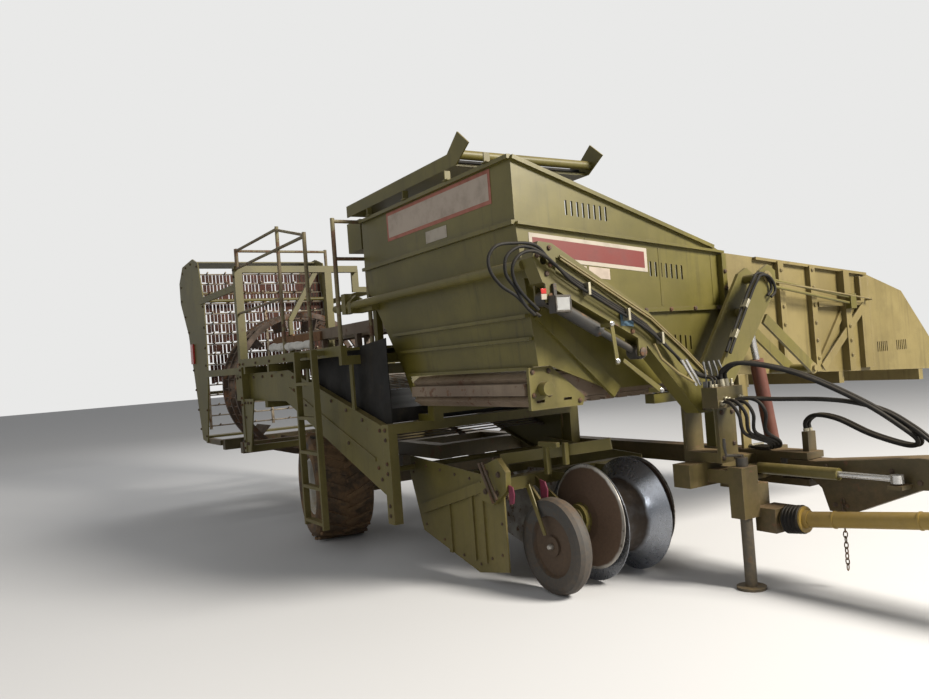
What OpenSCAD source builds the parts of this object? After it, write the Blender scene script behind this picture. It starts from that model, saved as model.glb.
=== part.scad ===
// Trailed one-row potato harvester with a bunker that unloads to the left.
// X is forward, Y is to the machine's left, Z is up. Every module is written in an
// axle frame, whose origin is on the floor under the middle of the axle, and
// at_frame() moves it so that the model's own origin is the middle of its outline.

/* [Outline] */
// Front end of the drawbar eye, ahead of the axle
x_front = 5300; // [5000:10:5600]
// Rear end of the ring elevator housing, behind the axle
x_rear = -4300; // [-4600:10:-4100]
// Outer face of the ladder, on the right
y_right = -1490; // [-1600:10:-1450]
// Outer end of the unloading section, on the left
y_left = 3150; // [3000:10:3300]

/* [Wheels] */
// Outer diameter of a main tyre, over its lugs
tyre_d = 930; // [880:5:1000]
// Width of a main tyre
tyre_w = 490; // [440:5:500]
// Height of one tread lug
lug_h = 22; // [15:1:30]
// Number of lugs on each side of the tread
lug_n = 22; // [14:1:26]
// Diameter of the rim flange
rim_d = 480; // [440:5:520]
// Distance from the machine's middle to each kingpin
kingpin_y = 760; // [740:5:780]
// Distance from the kingpin to the middle of its wheel
wheel_out = 330; // [320:5:340]
// Angle at which the wheels stand, turned to the right
steer_rest = 9; // [0:1:12]
// Bolt circle of the wheel studs
stud_pcd = 205; // [180:5:225]

/* [Bunker] */
// Front face of the hopper
hop_x1 = 3020; // [2980:5:3060]
// Rear edge of the hopper's rim
hop_x0 = 1030; // [980:5:1100]
// Rear edge of the hopper's floor
hop_x0_low = 1490; // [1450:5:1520]
// Height of the seam below the extension sheets
seam_z = 2220; // [2150:5:2300]
// Height of the raised right-hand edge
peak_z = 2600; // [2500:5:2700]
// Right-hand edge of the rim
hop_y0 = -1150; // [-1200:5:-1100]
// Left-hand edge of the hopper's walls
hop_y1 = 540; // [520:5:560]
// Thickness of the bunker's folded sheet walls
wall_t = 14; // [10:1:20]
// Height of the pivot that carries the arms
hub_z = 1120; // [1090:5:1150]
// Place of that pivot across the machine
hub_y = 30; // [10:5:60]
// Front face of the unloading section
out_x1 = 2990; // [2970:5:3000]
// Rear face of the unloading section
out_x0 = 1540; // [1520:5:1560]

/* [Digging unit] */
// Middle of the ridge that is dug
row_y = -280; // [-300:5:-260]
// Height of the pivot of the digging unit
dig_z = 700; // [680:5:720]
// Place of that pivot along the machine
dig_x = 1300; // [1280:5:1320]
// Diameter of a disc coulter
disc_d = 662; // [640:2:700]
// Diameter of the ends of the diabolo roller
diabolo_d = 742; // [700:2:760]
// Diameter of a haulm wheel
haulm_d = 590; // [560:5:600]

/* [Rear end] */
// Radius of the ring elevator
ring_r = 820; // [790:5:830]
// Height of the ring elevator's axis
ring_z = 1350; // [1340:5:1380]
// Number of cage rods round the ring
ring_n = 48; // [24:2:60]

/* [Drawbar] */
// Place of the drawbar across the machine
bar_y = 500; // [480:5:520]
// Place of the drawbar's steering pin
pin_x = 3560; // [3540:5:3580]
// Height of the drawbar eye
eye_z = 690; // [650:5:720]
// Bore of the drawbar eye
eye_bore = 51; // [40:1:60]

/* [Hidden] */
$fn = 48;
mid_x = (x_front + x_rear) / 2;
mid_y = (y_right + y_left) / 2;
eye_r = 75;
eye_x = x_front - eye_r;
axle_z = tyre_d / 2;
// gap between a piece and its seat
seat = 0.3;
green = [0.36, 0.35, 0.17];
tan_green = [0.55, 0.50, 0.30];
steel = [0.60, 0.60, 0.60];
dark = [0.10, 0.10, 0.10];
rust = [0.42, 0.28, 0.18];

// Shared helpers

module at_frame() { translate([-mid_x, -mid_y, 0]) children(); }

// round bar from a to b
module bar(a, b, d) {
    v = b - a;
    len = norm(v);
    translate(a) rotate([0, acos(v[2] / len), atan2(v[1], v[0])]) cylinder(h = len, d = d);
}

// thin rod from a to b, eight-sided
module rod(a, b, d) {
    $fn = 8;
    bar(a, b, d);
}

// square-cornered beam from a to b, h high in its vertical plane and w wide
module beam(a, b, h, w) {
    v = b - a;
    len = norm(v);
    translate(a) rotate([0, acos(v[2] / len), atan2(v[1], v[0])])
        translate([-h / 2, -w / 2, 0]) cube([h, w, len]);
}

// rounded tube through the points of a route, as one swept surface with its ends closed
module sweep(pts, d, sides = 10) {
    n = len(pts);
    function dir(i) = let(v = pts[min(i + 1, n - 1)] - pts[max(i - 1, 0)]) v / norm(v);
    rings = [for (i = [0:n - 1]) let(t = dir(i), a = cross(t, [0.13, 0.21, 0.97]), u = a / norm(a), w = cross(t, u))
        for (k = [0:sides - 1]) pts[i] + d / 2 * (u * cos(k * 360 / sides) + w * sin(k * 360 / sides))];
    faces = concat(
        [for (i = [0:n - 2], k = [0:sides - 1]) [i * sides + k, i * sides + (k + 1) % sides,
            (i + 1) * sides + (k + 1) % sides, (i + 1) * sides + k]],
        [[for (k = [sides - 1:-1:0]) k]], [[for (k = [0:sides - 1]) (n - 1) * sides + k]]);
    polyhedron(rings, faces);
}

// plate across the machine: outline in (y, z), from x0 forward by t
module plate_yz(x0, t, pts) { translate([x0, 0, 0]) rotate([90, 0, 90]) linear_extrude(t) polygon(pts); }

// plate along the machine: outline in (x, z), from y0 to the left by t
module plate_xz(y0, t, pts) { translate([0, y0 + t, 0]) rotate([90, 0, 0]) linear_extrude(t) polygon(pts); }

// round piece with its axis across the machine
module drum_y(x, y0, y1, z, d) { translate([x, y0, z]) rotate([-90, 0, 0]) cylinder(h = y1 - y0, d = d); }

// round piece with its axis along the machine
module drum_x(x0, x1, y, z, d) { translate([x0, y, z]) rotate([0, 90, 0]) cylinder(h = x1 - x0, d = d); }

module box(a, b) { translate(a) cube(b - a); }

// Running gear

module chassis() color(green) {
    // left rail up to the drawbar head, right rail beside the web
    box([-2860, 440, 640], [3300, 560, 760]);
    box([-2040, -420, 640], [700, -300, 760]);
    for (x = [-1200, -90, 560]) box([x, -300, 640], [x + 120, 440, 760]);
    // cross beams at the ring and arms back to the elevator housing
    for (x = [-2860, -2140]) box([x, -1300, 640], [x + 100, 440, 760]);
    for (y = [-1326, 220]) box([-3500, y, 690], [-2860, y + 60, 750]);
    // front cross beam under the pedestal
    box([3140, -190, 600], [3270, 444, 740]);
    // deep drawbar head with the fork and the pin for the tongue
    difference() {
        plate_xz(bar_y - 80, 160, [[2900, 640], [3300, 560], [3640, 560], [3640, 760], [2900, 760]]);
        box([pin_x - 110, bar_y - 100, 600], [pin_x + 120, bar_y + 100, 720]);
    }
    translate([pin_x, bar_y, 590]) cylinder(h = 140, d = 60);
    // holder for the hose ends
    box([3570, 480, 760], [3612, 556, 880 - seat]);
    // clevis of the lift cylinder
    for (x = [3160, 3264]) box([x, 560, 640], [x + 24, 720, 760]);
    drum_x(3180, 3270, lift_base[1], lift_base[2], 40);
    // bracket and pin of the steering cylinder
    box([3290, 290, 600], [3370, 424, 624]);
    translate([steer_a[0], steer_a[1], 612]) cylinder(h = 78, d = 30);
    // gearbox and jack bracket under the head
    box([3480, 110, 330], [3620, 290, 470]);
    box([3270, 150, 440], [3480, 250, 600]);
    box([3200, 150, 560], [3270, 250, 600]);
    difference() {
        box([3420, -30, 420], [3520, 110, 720]);
        translate([3470, 40, 400]) cylinder(h = 340, d = 70 + 2 * seat);
    }
    box([3270, -30, 620], [3420, 110, 700]);
}

rack_d = 36;
module axle_beam() color(green) {
    box([-60, -kingpin_y + 90, axle_z - 60], [60, kingpin_y - 90, axle_z + 60]);
    for (s = [-1, 1]) {
        box([-60, s > 0 ? 330 : -450, axle_z + 60], [60, s > 0 ? 450 : -330, 640]);
        // clevis round the kingpin
        for (z = [axle_z - 100, axle_z + 60]) difference() {
            union() {
                translate([0, s * kingpin_y, z]) cylinder(h = 40, d = 110);
                translate([-55, s > 0 ? kingpin_y - 95 : -kingpin_y, z]) cube([110, 95, 40]);
            }
            translate([0, s * kingpin_y, z - 5]) cylinder(h = 50, d = 37);
        }
    }
    // double-ended steering cylinder behind the beam
    difference() {
        drum_y(-150, -220, 220, axle_z, 90);
        drum_y(-150, -230, 230, axle_z, rack_d + 2 * seat);
    }
    for (s = [-1, 1]) box([-140, s * 160 - 25, axle_z + 30], [-50, s * 160 + 25, axle_z + 58]);
}

module steering_rack() color(steel) {
    drum_y(-150, -690, 690, axle_z, rack_d);
}

// one side's parts in the wheel's own frame: y outward from the kingpin
module at_wheel(s) {
    translate([0, s * kingpin_y, 0]) rotate([0, 0, -steer_rest]) mirror([0, s > 0 ? 0 : 1, 0]) children();
}

module knuckle(s) color(green) at_wheel(s) {
    translate([0, 0, axle_z - 55]) cylinder(h = 110, d = 100);
    translate([0, 0, axle_z - 110]) cylinder(h = 220, d = 36);
    drum_y(0, 30, 235, axle_z, 80);
    drum_y(0, 230, 330, axle_z, 50);
    // steering arm, reaching back under the rack
    translate([-175, -40, axle_z - 52]) cube([150, 50, 22]);
}

// steel rim: flange ring, well and bolted disc
module rim(s) color(steel) at_wheel(s) translate([0, wheel_out, axle_z]) {
    half = tyre_w / 2 - 40;
    rotate([-90, 0, 0]) difference() {
        rotate_extrude() polygon([
            [rim_d / 2 - 50, -half], [rim_d / 2 + 4, -half], [rim_d / 2 + 4, -half + 16],
            [rim_d / 2 - 24, -half + 30], [rim_d / 2 - 24, half - 30], [rim_d / 2 + 4, half - 16],
            [rim_d / 2 + 4, half], [rim_d / 2 - 14, half], [rim_d / 2 - 36, half - 30],
            [rim_d / 2 - 60, 60], [150, 20], [60, 20], [60, -10], [150, -10], [rim_d / 2 - 60, -20],
            [rim_d / 2 - 50, -40]]);
        for (i = [0:5]) rotate([0, 0, i * 60]) translate([stud_pcd / 2, 0, -30]) cylinder(h = 80, d = 22);
    }
    // hub with its cap
    difference() {
        drum_y(0, -90, 60, 0, 122);
        drum_y(0, -95, 12, 0, 51);
    }
}

// tyre with two staggered rows of bar lugs
module tyre(s) color(dark) at_wheel(s) translate([0, wheel_out, axle_z]) {
    r1 = tyre_d / 2 - lug_h;
    w = tyre_w / 2;
    rotate([-90, 0, 0]) rotate_extrude() polygon([
        [rim_d / 2 + 4.5, -w + 56.5], [rim_d / 2 + 35, -w + 18], [r1 - 95, -w], [r1 - 40, -w + 6],
        [r1 - 12, -w + 30], [r1, -w + 70], [r1, w - 70], [r1 - 12, w - 30], [r1 - 40, w - 6],
        [r1 - 95, w], [rim_d / 2 + 35, w - 18], [rim_d / 2 + 4.5, w - 56.5],
        [rim_d / 2 - 23.5, w - 70.5], [rim_d / 2 - 23.5, -w + 70.5]]);
    intersection() {
        drum_y(0, -w + 22, w - 22, 0, tyre_d);
        for (side = [0, 1], i = [0:lug_n - 1])
            rotate([0, (i + side / 2) * 360 / lug_n, 0])
                translate([0, 0, r1 - 8]) rotate([0, 0, side > 0 ? 24 : -24])
                    translate([-17, side > 0 ? -6 : 18 - w, 0]) cube([34, w - 12, lug_h + 20]);
    }
}

// Web, platform and rear end

// upper and lower edges of the right-hand web channel, in (x, z)
web_top = [[-2140, 1500], [-440, 1500], [1430, 1040]];
web_low = [[1430, 545], [-560, 1215], [-2140, 1215]];

module web_channel() color(green) {
    plate_xz(-1300, 16, concat(web_top, web_low));
    difference() {
        plate_xz(330, 16, concat(web_top, web_low));
        drum_y(dig_x, 320, 360, dig_z, 70);
    }
    // folded lips along both edges
    for (y = [-1290, 286], e = [[web_top, -1], [web_low, 1]])
        plate_xz(y, 50, concat([for (p = e[0]) p + [0, 2 * e[1]]], [for (i = [2:-1:0]) e[0][i] + [0, 14 * e[1]]]));
    // pressed seam and a foot on the left rail
    beam([-440, -1302, 1330], [1300, -1302, 790], 26, 12);
    box([-1180, 346, 760], [-1100, 500, 1300]);
    box([-1180, -420, 760], [-1100, -340, 1215]);
    box([-1180, -1300, 1150], [-1100, -340, 1215]);
}

// rod web: round rods that lie on three belts
rod_pitch = 56;
rod_d = 11;
belt_t = 16;
belt_top = rod_d / 2 + 2 * seat;
web_run = [[-2080, 1380], [-500, 1380], [1190, 900]];
module web_rods() color(steel) {
    for (j = [0:1]) {
        a = web_run[j];
        b = web_run[j + 1];
        n = floor(norm(b - a) / rod_pitch);
        for (i = [j:n]) {
            p = a + (b - a) * i / n;
            rod([p[0], -1262, p[1]], [p[0], 308, p[1]], rod_d);
        }
    }
    line = [web_run[0] - [14, 0], web_run[1], web_run[2] + [14, -4]];
    for (y = [-1284 + seat, -500, 285 - seat])
        plate_xz(y, 45, concat([for (p = line) p - [0, belt_top]],
            [for (i = [2:-1:0]) line[i] - [0, belt_top + belt_t]]));
}

module front_portal() color(green) {
    box([1430, -1300, 340], [1530, -1230, 1050]);
    box([1430, -1230, 980], [1530, 440, 1050]);
    box([1430, 352, 700], [1530, 440, 980]);
    box([1430, 352, 640], [1530, 440, 700]);
    // pivot ears of the digging unit
    for (y = [-1260, 352]) difference() {
        plate_xz(y, 30, [[1250, 620], [1430, 560], [1430, 860], [1340, 840], [1250, 770]]);
        drum_y(dig_x, y - 5, y + 35, dig_z, 44);
    }
}

module rubber_curtain() color(dark) {
    box([984, -1262, 1160], [1450, -1244, 1680]);
    box([984, -1244, 1200], [1002, 300, 1560]);
}

// height of the deck
deck_z = 1630;
function web_z(x) = 1500 - (x + 440) * 460 / 1870 + seat;
module platform() color(green) {
    // side rail, deck and inner rail
    box([-1640, -1380, deck_z - 60], [984, -1330, deck_z + 20]);
    box([-1640, -1330, deck_z - 20], [984, -880, deck_z]);
    box([-1640, -880, deck_z - 60], [984, -830, deck_z]);
    // bearers on the web channel, with short posts where it falls away
    for (x = [-1560, -800, 0, 934]) box([x, -1380, 1500], [x + 50, 346, deck_z - 60]);
    for (x = [0, 934], y = [-1300, 330])
        plate_xz(y, 16, [[x, web_z(x)], [x + 50, web_z(x + 50)], [x + 50, 1502], [x, 1502]]);
}

module picking_table() color(rust) {
    box([-1500, -810, 1800], [900, -310, 1840]);
    for (y = [-820, -310]) box([-1520, y, 1780], [920, y + 10, 1880]);
    for (x = [-1560, -800, 0], y = [-815, -355]) box([x, y, deck_z - 60], [x + 50, y + 50, 1800]);
}

module portal_frame() color(green) {
    box([-1720, -1380, 690], [-1640, -1300, 2630]);
    box([-1720, -1300, 2560], [-1640, 20, 2630]);
    box([-1720, -380, 1570], [-1640, -300, 2560]);
    box([-1720, -1300, 1500], [-1640, 346, 1570]);
    beam([-1680, -480, 2560], [-1680, -800, 2040], 50, 40);
    beam([-1680, -800, 2040], [-1680, -800, 1570], 50, 40);
    plate_xz(-1372, 12, [[-1640, 1240], [-1640, 690], [-1520, 690], [-1330, 1210], [-1330, 1240]]);
    box([-1720, -1300, 690], [-1640, -420, 750]);
}

// handrails in the right-hand plane, over the portal and at the steps
module handrails() color(rust) {
    ry = -1355;
    // upright posts, then the level and slanting rails between them
    for (p = [[-330, 2802], [330, 2634]]) bar([p[0], ry, deck_z + 20], [p[0], ry, p[1]], 34);
    bar([-1640, ry, 2600], [330, ry, 2600], 28);
    bar([-1600, ry, 2780], [-330, ry, 2780], 28);
    bar([-330, ry, 2770], [330, ry, 2610], 26);
    bar([-1639.5, ry, 2130], [-330, ry, 2150], 24);
    bar([-1600, ry, 2594], [-1600, ry, 2802], 32);
}

module grab_rails() color(rust) {
    ry = -1355;
    // rail over the portal
    for (y = [-1340, -340]) bar([-1680, y, 2630], [-1680, y, 2812], 34);
    bar([-1680, -1340, 2790], [-1680, -340, 2790], 28);
    // grab rail at the front steps
    for (p = [[ry, 20], [-1090, 0]]) bar([940, p[0], deck_z + p[1]], [940, p[0], 2634], 34);
    for (z = [2320, 2610]) bar([940, ry, z], [940, -1090, z], 28);
}

module ladder() color(green) {
    for (x = [230, 620]) box([x, y_right, 210], [x + 30, y_right + 50, 1640]);
    for (z = [240, 520, 800, 1080, 1360]) box([260, y_right, z], [620, y_right + 60, z + 25]);
    for (x = [230, 620]) box([x, y_right + 50, 1590], [x + 30, -1380, 1630]);
}

module elevator_housing() color(green) {
    outline = [[x_rear + 760, 2980], [x_rear + 220, 2950], [x_rear, 2760], [x_rear, 2500], [x_rear + 320, 2060], [-3600, 730],
        [-3380, 700], [-3160, 1500], [-3120, 2400], [-3300, 2900]];
    for (y = [-1340, 280]) plate_xz(y, 14, outline);
    // roof and lower flap box
    box([x_rear + 220, -1326, 2935], [x_rear + 760, 280, 2950]);
    box([-3620, -1326, 750], [-3420, 280, 776]);
    // edge bars across
    for (p = [[x_rear + 50, 2620], [-3200, 1560], [-3200, 2420], [-3700, 1300]])
        bar([p[0], -1330, p[1]], [p[0], 285, p[1]], 40);
    // stays to the portal and along the left side
    for (z = [1500, 2380]) box([-3200, -1370, z], [-1720, -1340, z + 70]);
    box([-3240, 294, 2340], [-1720, 324, 2400]);
    box([-1750, 20, 2340], [-1720, 324, 2400]);
    box([-1750, -20, 2340], [-1720, 60, 2600]);
}

// haulm web with lateral bars and rubber fingers
module elevator_web() color(steel) {
    for (i = [0:15]) {
        z = 900 + i * 125;
        x = -3330 - (z > 2300 ? (z - 2300) * 0.25 : 0);
        rod([x, -1326, z], [x, 280, z], 16);
        for (k = [0:6]) rod([x, -1200 + k * 220, z], [x + 70, -1200 + k * 220, z + 20], 18);
    }
    for (y = [-1300, -520, 250]) box([-3345, y - 15, 860], [-3320, y + 15, 2300]);
}

ring_y = -480;
ring_x0 = -2700;
ring_x1 = -2200;
// two flanges joined by the rods of the cage
module ring_elevator() color(rust) translate([0, ring_y, ring_z]) {
    for (x = [ring_x0, ring_x1 - 40, (ring_x0 + ring_x1) / 2 - 12])
        translate([x, 0, 0]) rotate([0, 90, 0]) difference() {
            cylinder(h = x == ring_x0 || x == ring_x1 - 40 ? 40 : 24, r = ring_r, $fn = 96);
            translate([0, 0, -5]) cylinder(h = 60, r = ring_r - 60, $fn = 96);
        }
    for (i = [0:ring_n - 1]) rotate([i * 360 / ring_n, 0, 0])
        translate([ring_x0 + 10, 0, ring_r - 25]) rotate([0, 90, 0]) cylinder(h = ring_x1 - ring_x0 - 20, d = 14, $fn = 12);
}

// lifting plates inside the ring
module ring_pockets() color(rust) translate([0, ring_y, ring_z]) for (i = [0:11]) rotate([i * 30 + 15, 0, 0])
    translate([ring_x0 + 10, -4, ring_r - 190]) cube([ring_x1 - ring_x0 - 20, 8, 130 - seat]);

// four rollers on brackets that carry the ring
module ring_carrier() color(dark) {
    for (a = [-42, 42]) {
        y = ring_y + sin(a) * (ring_r + 45 + seat);
        z = ring_z - cos(a) * (ring_r + 45 + seat);
        drum_x(ring_x0 - 20, ring_x1 + 20, y, z, 90);
        for (x = [ring_x0 - 60, ring_x1 + 20]) box([x, y - 45, 640], [x + 40, y + 45, z + 30]);
    }
}

// Bunker

// height of the sloping seam and floor lines at a place across the machine
fall = 0.09;
function seam_at(y) = seam_z - (y - hop_y0) * fall;

module hopper() color(green) {
    low_y = hop_y0 + 90;
    // front wall, with the raised extension sheet over the seam and rows of air slots
    difference() {
        plate_yz(hop_x1 - wall_t, wall_t, [
            [low_y, 1400], [hop_y0, seam_z], [hop_y0, peak_z], [460, seam_at(460) + 30], [hop_y1, seam_at(hop_y1)],
            [hop_y1, 1230], [-550, 1230], [-980, 1400]]);
        slots(-780, 8, 44, 2360, 88);
        slots(-130, 7, 46, 2000, 92);
        slots(40, 4, 46, 1530, 90);
    }
    // rear wall, leaning forward to the floor
    rear_wall();
    // right-hand wall in two folds
    side_wall();
}

// row of upright slots in the front wall: first place, count, pitch, top height, length
module slots(y0, n, pitch, z, l) {
    for (i = [0:n - 1])
        translate([hop_x1 - 40, y0 + i * pitch, z - l - i * pitch * fall]) cube([80, 16, l]);
}

module rear_wall() {
    // upper sheet stands upright, lower sheet leans
    plate_yz(hop_x0, wall_t, [
        [hop_y0, seam_z], [hop_y0, peak_z], [460, seam_at(460) + 30], [hop_y1, seam_at(hop_y1)], [hop_y1, 2050],
        [-300, 2100]]);
    plate_xz(hop_y0 + 90, hop_y1 - hop_y0 - 90, [
        [hop_x0, seam_z], [hop_x0, 2050], [hop_x0_low, 1230], [hop_x0_low + wall_t, 1230],
        [hop_x0_low + wall_t, 1330], [hop_x0 + wall_t + 4, 2110], [hop_x0 + wall_t + 4, seam_z - 160],
        [hop_x0 + wall_t, seam_z - 155]]);
}

module side_wall() {
    // raised extension sheet
    box([hop_x0, hop_y0, seam_z], [hop_x1, hop_y0 + wall_t, peak_z]);
    // leaning lower sheet, trimmed to the rear wall
    intersection() {
        plate_yz(hop_x0, hop_x1 - hop_x0, [
            [hop_y0, seam_z + 10], [hop_y0 + 90, 1400], [hop_y0 + 90 + wall_t, 1400], [hop_y0 + wall_t, seam_z + 10]]);
        plate_xz(-1400, 900, [
            [hop_x0, 2300], [hop_x0, 2050], [hop_x0_low, 1230], [hop_x1, 1230], [hop_x1, 2300]]);
    }
}

// ribs, lips and beams that stiffen the hopper and carry it
module hopper_frame() color(green) {
    // lips along the rim and the seam
    for (z = [peak_z - 20, seam_z - 12]) box([hop_x0, hop_y0 - 26, z], [hop_x1 + 4, hop_y0, z + 24]);
    beam([hop_x1 + 12, hop_y0, peak_z - 12], [hop_x1 + 12, 455, seam_at(460) + 22], 24, 24);
    beam([hop_x1 + 15, hop_y0, seam_z - 6], [hop_x1 + 15, hop_y1, seam_at(hop_y1) - 6], 16, 30);
    // folded ribs of the right-hand wall
    for (z = [1690, 1560]) {
        y = hop_y0 + 90 * (seam_z + 10 - z) / (seam_z - 1390);
        x = hop_x0 + (hop_x0_low - hop_x0) * (seam_z - z) / (seam_z - 1400);
        plate_yz(x + 20, hop_x1 - 10 - x - 20, [[y - 30, z - 10], [y + 1.1 - seat, z - 10], [y - 1.1 - seat, z + 10], [y - 30, z + 10]]);
    }
    box([hop_x0_low, hop_y0 + 60, 1380], [2950, hop_y0 + 104, 1400 - seat]);
    // level rib, end rib and slanting fold of the front wall
    box([hop_x1, -480, 1680], [hop_x1 + 30, hop_y1 - 40, 1705]);
    box([hop_x1, hop_y1 - 40, 1230], [hop_x1 + 40, hop_y1, seam_at(hop_y1) - 20]);
    beam([hop_x1 + 12, -1040, 1705], [hop_x1 + 12, -500, 1210], 80, 24);
    // bearers under the floor, down to the chassis and the portal
    box([hop_x1 - 160, -100, 1100], [hop_x1 - 80, 520, 1160]);
    box([hop_x1 - 160, 440, 760], [hop_x1 - 80, 520, 1100]);
    box([1590, -1000, 1100], [1670, 380, 1160]);
    for (y = [-1000, 300]) box([1430, y, 1050], [1670, y + 80, 1100]);
}

// moving floor: slats round two rollers, open towards the left
module hopper_floor() color(rust) {
    y0 = -1010;
    y1 = 400;
    x0 = 1580;
    x1 = 2940;
    zc = 1270;
    for (y = [y0, y1]) drum_x(x0, x1, y, zc, 150);
    box([x0, y0, zc + 73], [x1, y1, zc + 90]);
    box([x0, y0, zc - 90], [x1, y1, zc - 73]);
    // slats on the strands and round the near roller
    for (i = [0:11]) for (z = [zc + 90, zc - 104]) box([x0, y0 + 60 + i * 110, z], [x1, y0 + 130 + i * 110, z + 14]);
    for (a = [35, 90, 145]) translate([0, y0, zc]) rotate([a, 0, 0]) box([x0, -34, 73], [x1, 34, 104]);
    // side cheeks with the shafts
    for (x = [x0 - 12, x1]) plate_yz(x, 12, [[y0 - 60, zc - 70], [y1 + 60, zc - 70], [y1 + 60, zc + 70], [y0 - 60, zc + 70]]);
}

// chain tensioner plate and motor at the floor's front right end
module floor_drive() color(green) {
    difference() {
        plate_yz(2952 + seat, 24, [[-1100, 1396], [-940, 1396], [-700, 1200], [-720, 1150], [-1100, 1150]]);
        for (y = [-1060, -860]) translate([2940, y, 1190]) cube([60, 60, 16]);
    }
    drum_x(2970, 3040, -1010, 1270, 80);
    drum_x(hop_x0_low + wall_t + seat, 1568, -1010, 1270, 120);
}

// pins of the fixed cylinder under the arm, in (y, z)
arm_pins = [[-1130, 1765], [-490, 1438]];
arm_pin_d = 29.4;
module near_arm() color(green) {
    x0 = 3160;
    // box arm from the head down to the hub, with a pressed panel in its face
    difference() {
        plate_yz(x0, 110, [[-1235, 1985], [-1190, 2070], [-1100, 2060], [-420, 1665], [60, 1230], [110, 1130],
            [60, 1040], [-60, 1040], [-480, 1500], [-1180, 1850]]);
        drum_x(x0 - 5, x0 + 130, -1165, 1965, 44);
        drum_x(x0 - 5, x0 + 130, hub_y, hub_z, 61);
        plate_yz(x0 + 100, 20, [[-1080, 1985], [-440, 1600], [-110, 1310], [-150, 1260], [-500, 1540], [-1090, 1890]]);
    }
    // lugs and pins of the cylinder
    for (x = [x0, x0 + 96]) {
        plate_yz(x, 14, [[-1162, 1740], [-1100, 1740], [-1096, 1830], [-1162, 1850]]);
        plate_yz(x, 14, [[-520, 1415], [-460, 1415], [-456, 1480], [-520, 1535]]);
    }
    for (p = arm_pins) drum_x(x0, x0 + 110, p[0], p[1], arm_pin_d);
    // foot on the hopper's front wall, torque tube and rear arm
    box([hop_x1, -1130, 1900], [x0, -1060, 2000]);
    bar([560, -1215, 1960], [x0, -1215, 1960], 60);
    box([760, -1250, 1900], [830, -1190, 2060]);
    plate_yz(860, 60, [[-1245, 1990], [-1190, 2040], [-1121, 2000], [-1121, 1900], [-1245, 1900]]);
    box([920, -1180, 1900], [1160, -1122, 1960]);
}

module arm_cylinder() color(dark) {
    difference() {
        union() {
            bar([3215, arm_pins[0][0], arm_pins[0][1]], [3215, -760, 1576], 76);
            bar([3215, -760, 1576], [3215, arm_pins[1][0], arm_pins[1][1]], 40);
            for (p = arm_pins) drum_x(3175, 3255, p[0], p[1], 82);
        }
        for (p = arm_pins) drum_x(3170, 3260, p[0], p[1], arm_pin_d + 2 * seat);
    }
    // work lamp and its bracket
    box([3276, -1155, 1680], [3330, -1045, 1775]);
    box([3270 + seat, -1125, 1760], [3290, -1105, 1840]);
}

module infeed_head() color(green) {
    // short conveyor over the rear rim, with raised side plates at its end
    for (y = [-1120, -30]) plate_xz(y, 10, [[700, 2690], [2400, 2700], [2560, 2800], [2440, 2900], [2300, 2790], [700, 2780]]);
    box([700, -1110, 2700], [2380, -30, 2716]);
    drum_y(2420, -1110, -30, 2760, 60);
    box([820, -1010, deck_z], [880, -960, 2700]);
    box([700, -150, 1840], [760, -90, 2700]);
    box([700, -300, 1840], [760, -90, 1880]);
    // motor hood at the rear end
    box([420, -1000, 2440], [680, -790, 2690]);
    box([680, -900, 2600], [760, -790, 2700]);
}

// belt of the feed, with its slats
module infeed_belt() color(dark) {
    box([720, -1104, 2716 + seat], [2380, -36, 2722]);
    for (i = [0:9]) box([760 + i * 170, -1100, 2720], [790 + i * 170, -40, 2756]);
}

// Unloading section and its lift

module hub_pedestal() color(green) {
    box([3098, -36, 740], [3384, 120, 800]);
    for (x = [3098, 3360]) box([x, -36, 796], [x + 24, 120, 1190]);
    drum_x(3088, 3370, hub_y, hub_z, 60);
    // valve block on the front plate
    box([3384, -160, 1080], [3500, 60, 1200]);
}

module far_arm() color(green) {
    // twin members from the hub to the top, on both sides of the near arm
    for (x = [3128, 3296]) {
        difference() {
            plate_yz(x, 24, [[-50, 1100], [hub_y, 1050], [110, 1090], [690, 1790], [690, 1900], [620, 1940], [540, 1900]]);
            drum_x(x - 5, x + 30, hub_y, hub_z, 61);
        }
        beam([x + 12, 560, 1590], [x + 12, 1020, 1240], 70, 20);
    }
    // spacers between the plates and the lower carrier on the section's wall
    drum_x(3150, 3298, 600, 1860, 60);
    drum_x(out_x1, 3310, 1020, 1240, 60);
    // pin bosses of the lift rod
    for (x = [3150, 3258]) drum_x(x, x + 40, 500, 1640, 60);
    // tension rods out to the post
    for (z = [0, 44]) bar([3128, 660, 1900 - z], [3075, 1900, 1722 - z], 20);
    box([out_x1 + 60, 1860, 1640], [3095, 1930, 1750]);
}

// bottom and top of the unloading section's walls, falling to the left
function out_top(y) = 2070 - (y - 540) * fall;
function out_low(y) = 1235 - (y - 540) * 0.05;

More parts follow.
